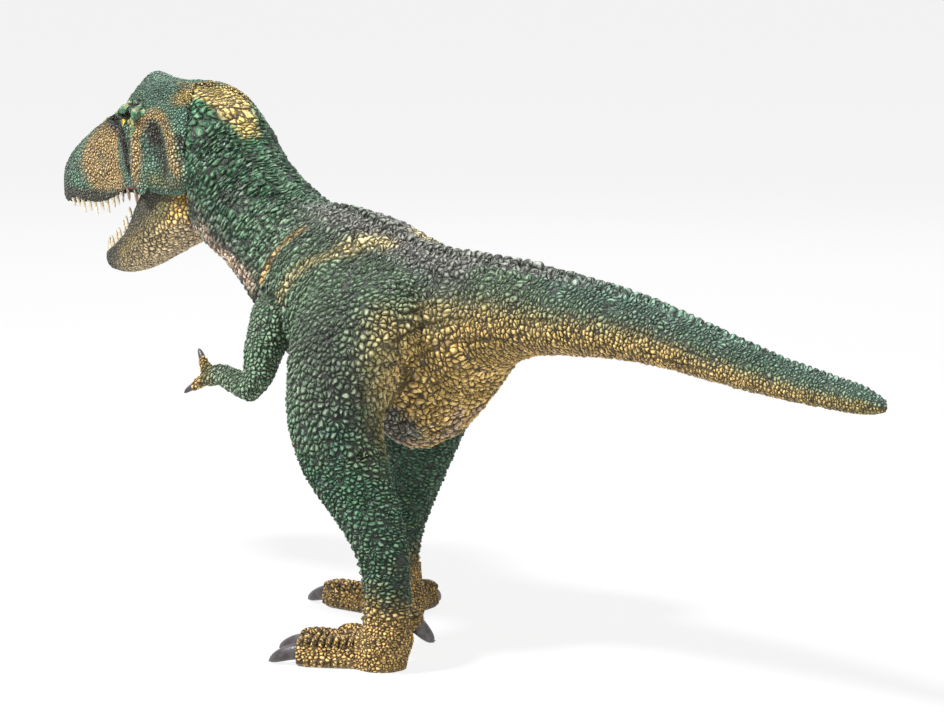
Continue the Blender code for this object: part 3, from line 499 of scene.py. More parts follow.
# Folds of the flank: depth, width, pixels
BODY_FOLDS = (
    (0.55, 0.55, ((397, 288), (410, 295), (422, 297), (438, 297), (456, 295), (478, 291))),
    (0.45, 0.50, ((388, 315), (402, 313), (418, 310), (432, 304), (452, 300), (480, 298))),
    (0.35, 0.45, ((402, 302), (420, 304), (436, 301), (456, 298))),
    (0.50, 0.55, ((384, 352), (392, 342), (404, 335), (416, 329), (430, 324), (448, 320), (480, 317))),
    (0.55, 0.60, ((386, 366), (396, 362), (404, 356), (412, 346), (424, 338))),
    (0.60, 0.60, ((376, 416), (388, 408), (398, 398), (403, 384), (404, 372), (408, 361), (416, 354))),
    (0.35, 0.45, ((418, 362), (430, 351), (446, 344), (470, 342), (496, 338))),
    (0.30, 0.45, ((425, 380), (440, 372), (462, 370), (486, 362))),
    (0.40, 0.55, ((304, 229), (290, 239), (278, 251), (268, 265), (261, 281))),
    (0.45, 0.60, ((336, 246), (316, 254), (302, 262), (291, 273), (284, 285), (276, 303))),
    (0.25, 0.45, ((296, 243), (304, 250), (310, 257))),
    (0.35, 0.50, ((316, 338), (332, 330), (352, 328), (372, 331), (384, 338))),
    (0.30, 0.45, ((318, 312), (340, 306), (362, 306), (384, 311))),
    (0.35, 0.45, ((487, 302), (507, 305), (520, 313), (530, 320), (560, 322))),
    (0.30, 0.45, ((420, 345), (453, 340), (487, 338), (507, 340), (523, 343))),
    (0.30, 0.40, ((600, 320), (633, 330), (660, 340), (687, 352), (720, 363))),
    (0.30, 0.40, ((633, 347), (653, 355), (673, 362), (700, 368))),
    (0.30, 0.45, ((400, 330), (398, 345), (396, 360))),
    (0.25, 0.40, ((412, 318), (410, 332), (406, 346))),
    (0.25, 0.40, ((424, 316), (422, 330), (418, 344))),
    (0.25, 0.40, ((436, 318), (433, 332), (428, 350), (424, 366))),
    (0.40, 0.50, ((214, 232), (226, 246), (240, 262), (252, 280))),
    (0.35, 0.50, ((222, 226), (236, 240), (248, 258), (256, 272))),
    (0.35, 0.60, ((262, 285), (272, 300), (280, 318), (282, 336))),
    (0.40, 0.60, ((300, 300), (296, 322), (293, 345), (292, 365))),
    (0.25, 0.32, ((387, 414), (396, 421), (408, 427), (420, 430))),
    (0.25, 0.32, ((386, 421), (396, 428), (408, 434), (420, 437))),
    (0.25, 0.32, ((387, 429), (397, 435), (409, 441))),
)
# Wrinkles across the neck, from the nape down towards the throat
NECK_FOLDS = tuple(
    (0.22, 0.42, ((top, high), (mid, 0.5 * (high + low) + 4), (bottom, low)))
    for top, high, mid, bottom, low in (
        (212, 96, 207, 204, 150), (222, 100, 214, 208, 168), (232, 108, 222, 214, 182),
        (240, 120, 229, 220, 196), (250, 132, 238, 228, 206), (260, 146, 247, 236, 218),
        (270, 160, 256, 244, 232), (282, 176, 267, 252, 246), (294, 190, 278, 262, 254),
        (308, 204, 292, 274, 252), (218, 160, 212, 210, 214), (228, 176, 220, 214, 224)))


# Raised scales of the back. By y: their pitch. By place along the spine: rows on each side, and height of a scale
SCUTE_PITCH = (-90, -60, -38, 35, 50, 80, 110, 134), (2.3, 2.8, 3.27, 3.27, 3.0, 2.6, 2.0, 1.5)
SCUTE_ROWS = (10, 30, 46, 62, 100, 118, 135, 160, 200, 232), (0.0, 1.0, 2.6, 4.6, 4.6, 3.4, 2.2, 1.4, 1.0, 0.8)
SCUTE_HEIGHT = (20, 60, 105, 130, 160, 190, 232), (0.6, 1.7, 2.0, 2.1, 1.9, 1.5, 0.9)
# y of the middle of a scale in the middle row, as in the CAD
SCUTE_START = -37.0 + 0.5 * 3.27
STRAY = 0.22


def stray(column, row, a, b, c):
    """A fixed shift for each scale off the middle row."""
    value = np.sin(column * a + row * b) * c
    return np.where(row == 0, 0, (value - np.floor(value) - 0.5) * STRAY)


def dorsal_scales(side, up, arc, points):
    """Rows of domed scales along the back: how far they cover the hide, their dome and its height."""
    fine = np.linspace(-92, 138, 2300)
    place = counted(points[:, 1], *SCUTE_PITCH, fine) - counted(SCUTE_START, *SCUTE_PITCH, fine)
    reach = side / (np.interp(points[:, 1], *SCUTE_PITCH) * 0.80)
    best = np.full(len(side), 9.0)
    for shift in (-1, 0, 1):
        row = np.round(reach) + shift
        along = place - 0.5 * (np.abs(row) % 2)
        for next_one in (0, 1):
            column = np.floor(along) + next_one
            ahead = along - column - stray(column, row, 12.9898, 78.233, 43758.5453)
            beside = reach - row - stray(column, row, 39.346, 11.135, 24634.6345)
            best = np.minimum(best, np.hypot(ahead, beside * 0.95))
    over = ramp(np.interp(arc, *SCUTE_ROWS) - np.abs(reach), -0.15, 0.55) * ramp(up, 0.0, 3.0)
    high = np.interp(arc, *SCUTE_HEIGHT) * np.where(np.abs(reach) < 0.5, 1.15, 0.8)
    return over, np.clip(1 - (best / 0.55) ** 2, 0, 1) ** 0.55, high


# Paints, written as screen colours


def tone(red, green, blue):
    """A screen colour as the linear values that the shaders use."""
    out = []
    for value in (red, green, blue):
        value = value / 255
        out.append(value / 12.92 if value <= 0.04045 else ((value + 0.055) / 1.055) ** 2.4)
    return np.array(out)


FLANK_GREEN = tone(138, 170, 136)
THIGH_GREEN = tone(94, 106, 90)
NECK_GREEN = tone(68, 124, 86)
SHIN_GREEN = tone(46, 112, 88)
DULL_GREEN = tone(98, 112, 96)
BACK_GREY = tone(148, 148, 142)
TAIL_TEAL = tone(140, 182, 158)
PATCH_GREY = tone(164, 162, 146)
OCHRE = tone(252, 212, 128)
PALE_OCHRE = tone(252, 234, 168)
EMERALD = tone(78, 156, 108)
NAPE_YELLOW = tone(255, 222, 130)
BELLY_CREAM = tone(222, 190, 156)
# The orange underside, painted lighter than it is to stand for light bounced up from the floor
BELLY_ORANGE_AND_BOUNCE_LIGHT = tone(255, 214, 154)
THROAT_PINK = tone(255, 226, 196)
ARC_ORANGE = tone(232, 188, 112)
FOOT_OCHRE = tone(255, 208, 122)
MUSTARD = tone(150, 146, 88)
TAN = tone(228, 192, 130)
CHEEK_BROWN = tone(74, 68, 58)
LIP_GREY = tone(96, 96, 80)
HEAD_TEAL = tone(128, 178, 150)
SNOUT_GREEN = tone(66, 118, 88)
KNOB_GREEN = tone(64, 126, 88)
JAW_GREY = tone(94, 96, 82)
# The jaw's cream underside, painted lighter than it is to stand for light bounced up from the floor
JAW_CREAM_AND_BOUNCE_LIGHT = tone(255, 226, 172)
JAW_GOLD = tone(246, 200, 100)
# Pale tops of the scales: dry brushing together with a painted highlight
SCALE_TOP_DRY_BRUSH_HIGHLIGHT = tone(206, 208, 186)
WASH_DARK = tone(26, 24, 20)


def brush(hide, colour, mask):
    """Lays a coat of paint where the mask is one."""
    mask = np.clip(mask, 0, 1)[:, None]
    hide.paint = hide.paint * (1 - mask) + colour * mask


def stroke(hide, surface, pixels, radius):
    """A soft airbrush stroke along pixels of the photograph, and its mirror image."""
    line = dense_line(surface, pixels, 1.0)
    gaps = [line_distance(hide.verts, path, radius * 2.6)[0] for path in (line, surface.other_line(line))]
    return np.exp(-(np.minimum(*gaps) / radius) ** 2) - math.exp(-2.6 ** 2)


def node_gaps(hide, names, reach):
    """Distance from each vertex to each CAD node, up to a reach."""
    gaps = np.full((len(names), len(hide.verts)), float(reach))
    for row, name in enumerate(names):
        low, high = (np.array(corner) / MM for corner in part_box(name))
        far = reach if "leg" in name or name == "torso" else 3.0
        near = np.flatnonzero(((hide.verts > low - far) & (hide.verts < high + far)).all(1))
        tree = Surface(*node_arrays(name)).tree
        gaps[row, near] = [tree.find_nearest(Vector(hide.verts[i]))[3] for i in near]
    return gaps


def fillet(hide, gap_a, gap_b, reach, mask):
    """Fills the valley between two nodes, as a smooth union of them would."""
    share = np.clip(1 - np.maximum(gap_a, gap_b) / reach, 0, 1)
    hide.push += 0.30 * reach * share ** 2 * mask


def make_body():
    """Sculpts and paints the neck, torso, tail, legs and arms as one skin."""
    hide = Hide([node_arrays(name, 0.22) for name in BODY_NODES], VOXEL, 70,
                lambda points: ramp(15 - points[:, 2], 0, 4))
    gaps = node_gaps(hide, BODY_NODES, 13.0)
    hide.owner = np.hstack([hide.smoother.smooth(gaps.T[:, i:i + 3], 8) for i in (0, 3, 6)]).argmin(1)
    above = ramp(hide.verts[:, 2], 56, 66)
    for leg in (gaps[3], gaps[4]):
        fillet(hide, gaps[0], leg, 12.0, above)
    hide.lift(20)
    hide.verts = hide.smoother.smooth(hide.verts, 6)
    hide.refresh()
    surface = hide.surface()
    points = hide.verts.copy()
    side, up, arc = spine_place(points)
    rough = noise(points, 2.2)
    is_arm = hide.owner >= BODY_NODES.index("left_arm")
    on_leg = (hide.owner >= BODY_NODES.index("left_leg")) & ~is_arm
    is_leg = on_leg & (points[:, 2] < SHIN_TOP + 2.5 * rough)
    is_foot = is_leg & (points[:, 2] < FOOT_TOP + 0.8 * rough)

    # Grain: cells laid out along the body, the shins and the feet
    across, relief = (np.interp(arc, BODY_CELLS[0], BODY_CELLS[row]) for row in (1, 3))
    fine = np.linspace(BODY_CELLS[0, 0] - 20, BODY_CELLS[0, -1] + 20, 900)
    grain = np.column_stack((side / across, up / across, counted(arc, BODY_CELLS[0], BODY_CELLS[2], fine)))
    region = np.zeros(len(points))
    for number, (where, (size, high, shift)) in enumerate(
            ((on_leg & ~is_leg, THIGH), (is_leg, SHIN), (is_foot, FOOT), (is_arm, ARM))):
        grain[where] = points[where] / np.array(size) * FLIP + shift
        relief[where] = high
        region[where] = number + 1
    edges = hide.smoother.edges
    border = np.zeros(len(points))
    border[edges[region[edges[:, 0]] != region[edges[:, 1]]]] = 1

    # Broad forms, folds, and wrinkles across the neck between them
    for form in BODY_FORMS:
        swell_pair(hide, surface, *form)
    swell(hide, (MIDDLE, -73.0, 126.0), (13, 10, 7), 1.5)
    hide.push[is_arm] = 0
    hide.lift(3)
    for fold in BODY_FOLDS + NECK_FOLDS:
        crease(hide, surface, *fold)
    hide.push[is_arm] *= 0.3
    ripple = np.sin(2 * math.pi * (grain[:, 2] + 0.40 * noise(points, 7.0) + 0.10 * noise(points, 2.0)))
    neck = ramp(turn_of(side, up), 6, 26) * ramp(62 - arc, 0, 18) * ~is_arm
    hide.push += 0.28 * ripple * neck
    hide.darken(0.60 * ramp(-ripple, 0.45, 1.0) * neck)

    # Cells
    hide.grain = warped(grain, points)
    dome, random = cells(hide.grain)
    over, big, high = dorsal_scales(side, up, arc, points)
    over = over * ~is_arm * ~is_leg
    calm = 1 - 0.6 * ramp(hide.wash, 0.2, 0.8)
    cell_push = 1.3 * relief * (dome - 0.55 + 0.30 * (random - 0.5)) * calm
    cell_push[border > 0] = -0.5 * relief[border > 0]
    hide.push += cell_push * (1 - over) + (high * (big - 0.42) + 0.30 * cell_push) * over
    hide.push += 0.16 * noise(points, 5.0)
    hide.darken(0.7 * over * ramp(0.5 - big, 0.0, 0.45) * ramp(arc, 36, 60))
    hide.darken(border * 0.45)
    shin_bars(hide, points, on_leg)
    toe_skin(hide, points, is_foot)
    hide.push[points[:, 2] < 0.9] = 0
    hide.lift()
    hide.verts[:, 2] = np.maximum(hide.verts[:, 2], 0.02)
    hide.ink = 0.45 + 0.25 * ramp(arc, 110, 135) + 0.55 * on_leg * ramp(40 - points[:, 2], 0, 24)
    paint_body(hide, surface, points, turn_of(side, up), arc, on_leg, is_foot, is_arm)
    return hide.done()


def turn_of(side, up):
    """Degrees round the body from the top of the back."""
    return np.degrees(np.arctan2(np.abs(side), up))


# Toes: root, heading and length, with the claw from a share of the length on
TOES = (
    ((20.4, 6.0), (-0.276, -0.961), 24.5), ((22.2, 6.0), (0.156, -0.988), 28.5), ((23.7, 6.0), (0.588, -0.809), 23.9),
    ((-18.4, -33.7), (0.105, -0.995), 25.1), ((-22.0, -34.8), (-0.500, -0.866), 25.1),
    ((-23.5, -31.2), (-0.978, -0.208), 14.8))
CLAW_SHARE = 0.725
SHIN_PITCH, TOE_PITCH = 1.85, 1.75
# Spurs behind the ankles: root and heading, then the length, the claw's share and its radius
SPURS = (((20.5, 13.2, 14.5), (-0.587, 0.331, -0.739)), ((-19.7, -31.5, 14.5), (0.604, -0.243, -0.759)))
SPUR_LENGTH, SPUR_CLAW, SPUR_RADIUS = 9.5, 0.56, 2.05


def shin_bars(hide, points, on_leg):
    """Raised bars down the front of each shin."""
    height = points[:, 2]
    front = ramp(-hide.normals[:, 1], 0.45, 0.8) * ramp(38 - height, 0, 6) * ramp(height, 8, 11) * on_leg
    wave = np.abs(np.sin(height / SHIN_PITCH * math.pi))
    hide.push = hide.push * (1 - 0.8 * front) + 1.7 * front * (wave ** 0.7 - 0.5)
    hide.darken(0.95 * front * ramp(0.66 - wave, 0, 0.25))


def toe_skin(hide, points, is_foot):
    """Bars across the top of each toe, dark gaps between them, and skin drawn in under the claws."""
    foot = np.flatnonzero(is_foot)
    place = points[foot]
    best = np.full(len(foot), 99.0)
    bars, gaps, tip = np.zeros((3, len(foot)))
    for root, heading, length in TOES:
        offset = place[:, :2] - np.array(root)
        along = offset @ np.array(heading)
        beside = np.hypot(offset @ np.array((heading[1], -heading[0])), np.maximum(-along, 0))
        closer = (beside < best) & (along < length + 2)
        best[closer] = beside[closer]
        wave = np.abs(np.sin(along / TOE_PITCH * math.pi))
        top = ramp(place[:, 2], 4.5, 5.3) * ramp(along, 1.0, 4.0)
        sole = ramp(2.4 - place[:, 2], 0, 0.6) * ramp(along, 2.0, 5.0)
        bars[closer] = (np.maximum(top, 0.35 * sole) * (wave ** 0.7 - 0.55))[closer]
        gaps[closer] = (np.maximum(top, 0.8 * sole) * ramp(0.70 - wave, 0, 0.25))[closer]
        tip[closer] = ramp(along / length, CLAW_SHARE, CLAW_SHARE + 0.02)[closer]
    hide.push[foot] = hide.push[foot] * (1 - 0.8 * (bars != 0)) + 2.0 * bars
    hide.push[foot] = np.where(tip > 0, -0.75 * tip, hide.push[foot])
    hide.wash[foot] = np.maximum(hide.wash[foot], gaps * 0.95)
    for root, heading in np.array(SPURS):
        along = (points - root) @ heading
        gap = np.linalg.norm(points - root - along[:, None] * heading, axis=1)
        inside = (gap < 3.2) & (along > SPUR_LENGTH * SPUR_CLAW)
        hide.push[inside] = np.where(along > SPUR_LENGTH * 0.85, -1.3, -0.9)[inside]


# Broad muscle forms of the flank: pixel, radii, height
BODY_FORMS = (
    ((405, 385), (6, 5, 9), -0.9), ((395, 420), (7, 5, 8), -0.7), ((440, 385), (9, 10, 10), 0.6),
    ((300, 262), (8, 8, 8), 0.6), ((285, 320), (8, 9, 14), 0.4), ((262, 300), (6, 5, 8), -0.5),
    ((398, 442), (8, 8, 7), 2.6), ((440, 300), (8, 14, 4), -0.5), ((500, 310), (6, 16, 4), -0.35),
    ((345, 450), (8, 8, 8), 0.4),
)


def paint_body(hide, surface, points, turn, arc, on_leg, is_foot, is_arm):
    def coat(colour, mask):
        brush(hide, colour, mask)

    def dab(colour, strength, radius, *pixels):
        mask = strength * stroke(hide, surface, pixels, radius)
        coat(colour, mask)
        return np.clip(mask, 0, 1)

    def spots(size, low, high):
        return ramp(noise(points, size), low, high)

    patchy = noise(points, 6.0)
    hide.paint[:] = FLANK_GREEN
    coat(DULL_GREEN, 0.55 * ramp(patchy, -0.2, 0.8))
    low = ramp(turn + 10 * patchy, 58, 108)
    coat(OCHRE, low * ramp(arc, 104, 124) * 0.97)
    coat(MUSTARD, low * ramp(arc, 190, 228) * 0.55)
    # Orange underside, with painted bounce light from below in it
    coat(BELLY_ORANGE_AND_BOUNCE_LIGHT, ramp(turn, 112, 140) * ramp(arc, 112, 126) * ramp(220 - arc, 0, 40) * 0.8)
    coat(OCHRE, ramp(turn, 118, 140) * ramp(arc, 62, 80) * ramp(140 - arc, 0, 20))
    for strength, radius, pixels in OCHRE_STROKES:
        dab(OCHRE, strength, radius, *pixels)
    coat(BELLY_CREAM, 0.9 * ramp(turn, 150, 166) * ramp(arc, 30, 50) * ramp(96 - arc, 0, 16))
    dab(PATCH_GREY, 1.3, 3.0, (392, 416), (388, 432), (398, 440), (404, 428), (412, 436))
    dab(BELLY_CREAM, 1.3, 1.3, (402, 443), (420, 444), (438, 438), (458, 426), (480, 406))
    dab(FLANK_GREEN, 0.8, 5.5, (470, 285), (510, 292), (550, 298))
    coat(TAIL_TEAL, ramp(70 - turn + 8 * patchy, 0, 40) * ramp(arc, 118, 150) * 0.95)
    coat(NECK_GREEN, 0.5 * ramp(80 - turn, 0, 40) * ramp(arc, 150, 190) * spots(9.0, 0.0, 0.5))
    dab(THIGH_GREEN, 0.9, 10.0, (318, 345), (330, 375), (334, 405), (345, 430))
    dab(BACK_GREY, 0.95, 6.5, (322, 208), (352, 222), (385, 240), (420, 258), (455, 272))
    coat(BACK_GREY, 0.8 * ramp(34 - turn, 0, 16) * ramp(arc, 55, 75) * ramp(160 - arc, 0, 30))
    front = ramp(66 - arc + 5 * patchy, 0, 20)
    coat(NECK_GREEN, 0.95 * ramp(54 - arc + 5 * patchy, 0, 24))
    coat(DULL_GREEN, front * ramp(turn + 12 * patchy, 78, 112))
    coat(DULL_GREEN, 0.7 * spots(11.0, 0.1, 0.6) * front)
    dab(EMERALD, 0.9, 3.4, (201, 106), (222, 116), (242, 128), (258, 144))
    coat(NAPE_YELLOW, ramp(33 - 1.2 * arc - turn + 8 * patchy, 0, 10) * ramp(17 - arc + 2 * patchy, 0, 5))
    coat(THROAT_PINK, ramp(turn + 6 * patchy, 128, 148) * ramp(64 - arc, 0, 10))
    hide.wash *= 1 - 0.6 * dab(THROAT_PINK, 1.5, 2.4, (204, 232), (215, 247), (228, 259), (240, 272), (250, 284))
    hide.wash *= 1 - 0.85 * dab(ARC_ORANGE, 1.5, 0.9, (304, 229), (290, 239), (278, 251), (268, 265), (261, 281))
    dab(PALE_OCHRE, 1.0, 3.2, (384, 244), (366, 243), (348, 249))
    dab(PALE_OCHRE, 0.9, 1.7, (348, 250), (326, 257), (306, 267), (291, 280), (280, 298))

    # Legs and arms
    height = points[:, 2] + 3.0 * patchy
    coat(SHIN_GREEN, on_leg * ramp(66 - height, 0, 22) * 0.95)
    coat(NECK_GREEN, on_leg * 0.7 * spots(4.5, 0.1, 0.6) * ramp(60 - height, 0, 16))
    coat(DULL_GREEN, on_leg * 0.6 * spots(7.0, 0.2, 0.7) * ramp(56 - height, 0, 16))
    coat(MUSTARD, on_leg * 0.5 * spots(5.0, 0.0, 0.6) * ramp(34 - height, 0, 12))
    coat(FOOT_OCHRE, on_leg * ramp(20 - height, 0, 10))
    coat(FLANK_GREEN, is_arm * 0.8)
    coat(NECK_GREEN, is_arm * 0.5 * ramp(patchy, 0.0, 0.6))
    coat(MUSTARD, is_arm * ramp(-points[:, 1], 52.0, 56.0))
    coat(FOOT_OCHRE, is_arm * ramp(-points[:, 1], 57.0, 59.5))
    coat(FOOT_OCHRE, is_foot * 0.9)


# Yellow strokes on the rear flank: strength, radius, pixels
OCHRE_STROKES = (
    (0.95, 8.5, ((500, 335), (465, 345), (438, 360), (425, 392), (412, 425))),
    (0.90, 6.0, ((470, 380), (450, 410), (430, 435), (410, 452))),
    (0.75, 5.0, ((410, 345), (400, 372))), (0.55, 5.5, ((386, 330), (380, 360), (378, 392))),
    (0.50, 3.5, ((430, 312), (460, 306), (500, 308), (540, 322))),
)


def finish_piece(name, mesh, body, material, replaced=()):
    item = placed(name, mesh)
    mesh.materials.append(material)
    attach(item, body)
    if replaced:
        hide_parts(*replaced)


def piece_of(hide, name, faces, body, replaced, material):
    """Cuts a piece out of a skin; its normals come from the whole skin, so that no seam shows."""
    chosen = hide.faces[faces]
    used = np.unique(chosen)
    number = np.full(len(hide.verts), -1)
    number[used] = np.arange(len(used))
    mesh = mesh_of(name, hide.verts[used] * MM, number[chosen])
    rgba = np.column_stack((hide.paint, np.ones(len(hide.paint))))
    for key, values, form, field in (
            ("paint", rgba, "FLOAT_COLOR", "color"), ("grain", hide.grain, "FLOAT_VECTOR", "vector"),
            *((key, getattr(hide, key), "FLOAT", "value") for key in ("wash", "bare", "ink"))):
        layer = mesh.attributes.new(key, form, "POINT")
        layer.data.foreach_set(field, np.asarray(values[used], np.float32).ravel())
    mesh.shade_smooth()
    mesh.normals_split_custom_set_from_vertices(hide.normals[used].tolist())
    finish_piece(name, mesh, body, material, replaced)


# Materials


class Tree:
    """Short calls for building a material's nodes."""

    def __init__(self, name, roughness, specular=0.4):
        self.material = bpy.data.materials.new(name)
        self.material.use_nodes = True
        self.tree = self.material.node_tree
        self.shader = self.tree.nodes["Principled BSDF"]
        self.wear(Roughness=roughness, Specular_IOR_Level=specular)

    def wear(self, **inputs):
        """Links or sets the shader's own sockets, named with _ for a space."""
        for name, value in inputs.items():
            plug(self.tree, value, self.shader.inputs[name.replace("_", " ")])
        return self.material

    def add(self, kind, inputs=(), output=0, **settings):
        return add_node(self.tree, "ShaderNode" + kind, inputs, **settings).outputs[output]

    def attribute(self, name, output="Fac"):
        return self.add("Attribute", output=output, attribute_name=name)

    def place(self):
        return self.add("TexCoord", output="Object")

    def math(self, kind, a, b, clamp=False):
        return self.add("Math", {0: a, 1: b}, operation=kind, use_clamp=clamp)

    def times(self, first, *others):
        for other in others:
            first = self.math("MULTIPLY", first, other)
        return first

    def vector(self, kind, *inputs, output="Vector"):
        return self.add("VectorMath", enumerate(inputs), output, operation=kind)

    def span(self, value, low, high, to_low=0.0, to_high=1.0):
        return self.add("MapRange", enumerate((value, low, high, to_low, to_high)), interpolation_type="SMOOTHSTEP")

    def mix(self, share, a, b):
        a, b = (colour if hasattr(colour, "is_output") else (*colour, 1.0) for colour in (a, b))
        return self.add("Mix", {0: share, 6: a, 7: b}, 2, data_type="RGBA")

    def scaled(self, colour, share):
        return self.add("VectorMath", {0: colour, "Scale": share}, operation="SCALE")

    def voronoi(self, vector, feature):
        inputs = {"Vector": vector, "Scale": 1.0, "Randomness": RANDOMNESS}
        return add_node(self.tree, "ShaderNodeTexVoronoi", inputs, feature=feature).outputs

    def noise(self, vector, scale, detail=3.0):
        return self.add("TexNoise", {"Vector": vector, "Scale": scale, "Detail": detail}, "Fac")

    def bump(self, height, distance, strength=1.0):
        return self.add("Bump", {"Height": height, "Distance": distance, "Strength": strength})


def hide_material():
    """Painted vinyl: a coat of paint, a dark wash in the grooves, painted shade and light over each scale, and dry
    brushing with a painted highlight on the tops of the scales.
    """
    tree = Tree("painted hide", 0.5, 0.55)
    grain, paint = tree.attribute("grain", "Vector"), tree.attribute("paint", "Color")
    wash, bare, ink = (tree.attribute(name) for name in ("wash", "bare", "ink"))
    place = tree.place()
    wander = tree.noise(place, 2600.0)
    middle = tree.voronoi(grain, "F1")
    far = tree.times(tree.span(middle["Distance"], 0.45, 0.90), 0.08)
    edge = tree.math("SUBTRACT", tree.voronoi(grain, "DISTANCE_TO_EDGE")["Distance"], far)
    edge = tree.math("ADD", edge, tree.times(tree.math("SUBTRACT", wander, 0.5), 0.10))
    lean = tree.vector("DOT_PRODUCT", tree.vector("SUBTRACT", grain, middle["Position"]), LEAN, output="Value")
    rough = tree.math("SUBTRACT", 1.0, bare)

    # The paint varies from scale to scale. Painted shade and light on each scale: darker towards each edge and most at
    # the free one, lighter in the middle and on the leading side
    random = tree.add("SeparateColor", {0: middle["Color"]})
    colour = tree.scaled(paint, tree.span(random, 0.0, 1.0, 0.84, 1.14))
    shade = tree.times(tree.span(edge, -0.01, 0.16, 0.46, 1.20), tree.span(lean, -0.1, 0.5, 1.08, 0.66), rough)
    colour = tree.scaled(colour, tree.math("ADD", shade, bare))
    # Dry brushing and a painted highlight make the top of each scale paler
    colour = tree.mix(tree.times(tree.span(edge, 0.15, 0.40), rough, 0.24), colour, SCALE_TOP_DRY_BRUSH_HIGHLIGHT)
    speck = tree.span(tree.noise(place, 1100.0, 5.0), 0.52, 0.70)
    colour = tree.mix(tree.times(speck, 0.12), colour, WASH_DARK * 2.2)

    # The wash lies in grooves, wider where there is more ink, and where the sculpting put it
    reach = tree.math("ADD", tree.times(ink, 0.11), 0.07)
    full = tree.math("SUBTRACT", tree.times(ink, 0.09), 0.01)
    patch = tree.span(tree.noise(place, 260.0, 2.0), 0.35, 0.65, 0.78, 1.0)
    groove = tree.times(tree.span(edge, reach, full), rough, patch, 0.90)
    dark = tree.math("MAXIMUM", groove, tree.times(wash, 0.92), True)

    height = tree.times(tree.span(edge, -0.02, 0.36), tree.span(lean, -0.5, 0.5, 0.55, 1.25), rough)
    height = tree.math("ADD", height, tree.times(wander, 0.25))
    return tree.wear(Base_Color=tree.mix(dark, colour, WASH_DARK), Normal=tree.bump(height, 0.0010),
                     Roughness=tree.span(wander, 0.3, 0.7, 0.30, 0.46))


# Head and jaws

# y and z of the jaw pin
HINGE = (-92.70, 105.50)
# Edge of the upper lip: y, half width, z
LIP_LINE = np.array((
    (-133.3, 3.4, 103.4), (-132.4, 5.9, 102.8), (-130.2, 8.3, 101.8), (-127.0, 9.6, 100.9), (-124.0, 10.1, 100.3),
    (-121.0, 10.2, 99.9), (-118.0, 10.1, 99.6), (-115.0, 10.0, 99.6), (-112.0, 9.9, 100.2), (-109.0, 10.1, 101.2),
    (-106.5, 10.5, 102.3), (-104.2, 11.2, 103.4), (-102.4, 11.8, 104.2), (-100.5, 12.2, 104.6), (-98.0, 12.6, 104.7),
    (-95.5, 12.9, 104.7), (-93.5, 13.0, 104.9)))
# Section of the lip: outward and up from its edge, with the last rise standing for the top
LIP_RISE = 6.0
LIP_SECTION = (
    (-0.15, LIP_RISE), (0.0, 3.0), (0.0, 1.0), (-0.35, 0.25), (-0.9, 0.0), (-1.5, 0.35), (-1.8, 1.4), (-1.8, LIP_RISE))
LIP_TOP, LIP_REAR, LIP_FRONT = 109.3, -113, (MIDDLE, -133.7, 103.6)
# Place and way of the planes at which gum and tongue are cut off
GUM_PLANE = (0, 0, 101.6), (0, 0, -1)
TONGUE_PLANE = (0, -111.5, 90.6), (0, -0.55, 1)
# Rim of the lower jaw: y, half width, z
JAW_RIM = np.array((
    (-120.1, 2.6, 86.5), (-118.8, 3.7, 87.0), (-116.8, 4.9, 87.8), (-114.3, 5.7, 88.9), (-111.5, 6.4, 90.5),
    (-108.5, 7.1, 92.7), (-105.6, 7.9, 95.5), (-102.9, 8.8, 99.3), (-100.3, 9.7, 103.2)))
# Knobs over the eye: pixel and radius
KNOBS = (
    ((126.7, 110), 1.35), ((137.5, 113.7), 1.10), ((115.8, 107.5), 0.80), ((120.8, 103.7), 0.85), ((127, 100.5), 0.80),
    ((136.7, 102.5), 0.85), ((141.5, 107.5), 0.85), ((114, 112.5), 0.70), ((122, 107), 0.70), ((131, 104.5), 0.85),
    ((133, 118), 0.60), ((131, 122), 0.50), ((135, 123), 0.50), ((132, 127), 0.50), ((136, 129), 0.45),
    ((145, 113), 0.60), ((119, 114), 0.55))
# Beads along the top of the snout
SNOUT_BEADS = tuple(((x, y), 0.48) for x, y in (
    (86, 134.5), (89, 132), (92, 129.5), (95.5, 127.5), (99, 125.5), (102.5, 123.8), (106, 122), (109.5, 120)))
HEAD_FORMS = (
    ((155, 150), (7, 3.0, 6.5), -2.1), ((160, 172), (6, 2.4, 4.0), -1.0), ((117, 124), (5, 1.7, 4.5), -1.5),
    ((102, 158), (8, 6, 8), 0.7), ((136, 140), (5, 1.5, 6), 0.9), ((135, 165), (5, 1.5, 6), 0.8),
    ((150, 116), (5, 3.5, 1.8), 1.0), ((166, 128), (5, 2.2, 3.0), 0.9), ((172, 150), (5, 1.8, 6), 0.9),
    ((178, 172), (5, 2.4, 3.5), 0.9), ((184, 150), (4, 1.6, 4.0), -1.1), ((192, 150), (5, 1.6, 9.0), 0.5),
    ((143, 95), (6, 2.6, 3.0), -0.8),
)
# Forms on the middle line of the skull: y and z, radii, height
CROWN_FORMS = (
    ((-101.6, 131.4), (4.5, 2.2, 3.0), 2.2), ((-94.5, 133.0), (9, 4.6, 4.0), -1.6),
    ((-88.5, 132.5), (9, 4.0, 4.0), -1.0), ((-107.5, 126.0), (7, 2.5, 4.0), -0.6))
HEAD_FOLDS = (
    (1.10, 0.80, ((112, 117), (118, 124), (123, 134), (127, 150), (129, 165), (130, 180))),
    (0.40, 0.40, ((178, 138), (183, 146), (188, 156), (195, 167))),
    (0.30, 0.40, ((170, 128), (178, 136), (184, 142))),
    (0.25, 0.35, ((148, 140), (152, 155), (158, 170), (166, 182))),
    (0.22, 0.30, ((186, 128), (188, 112), (184, 98))),
)


def head_grain(points, size):
    return points / np.asarray(size) * FLIP + 200


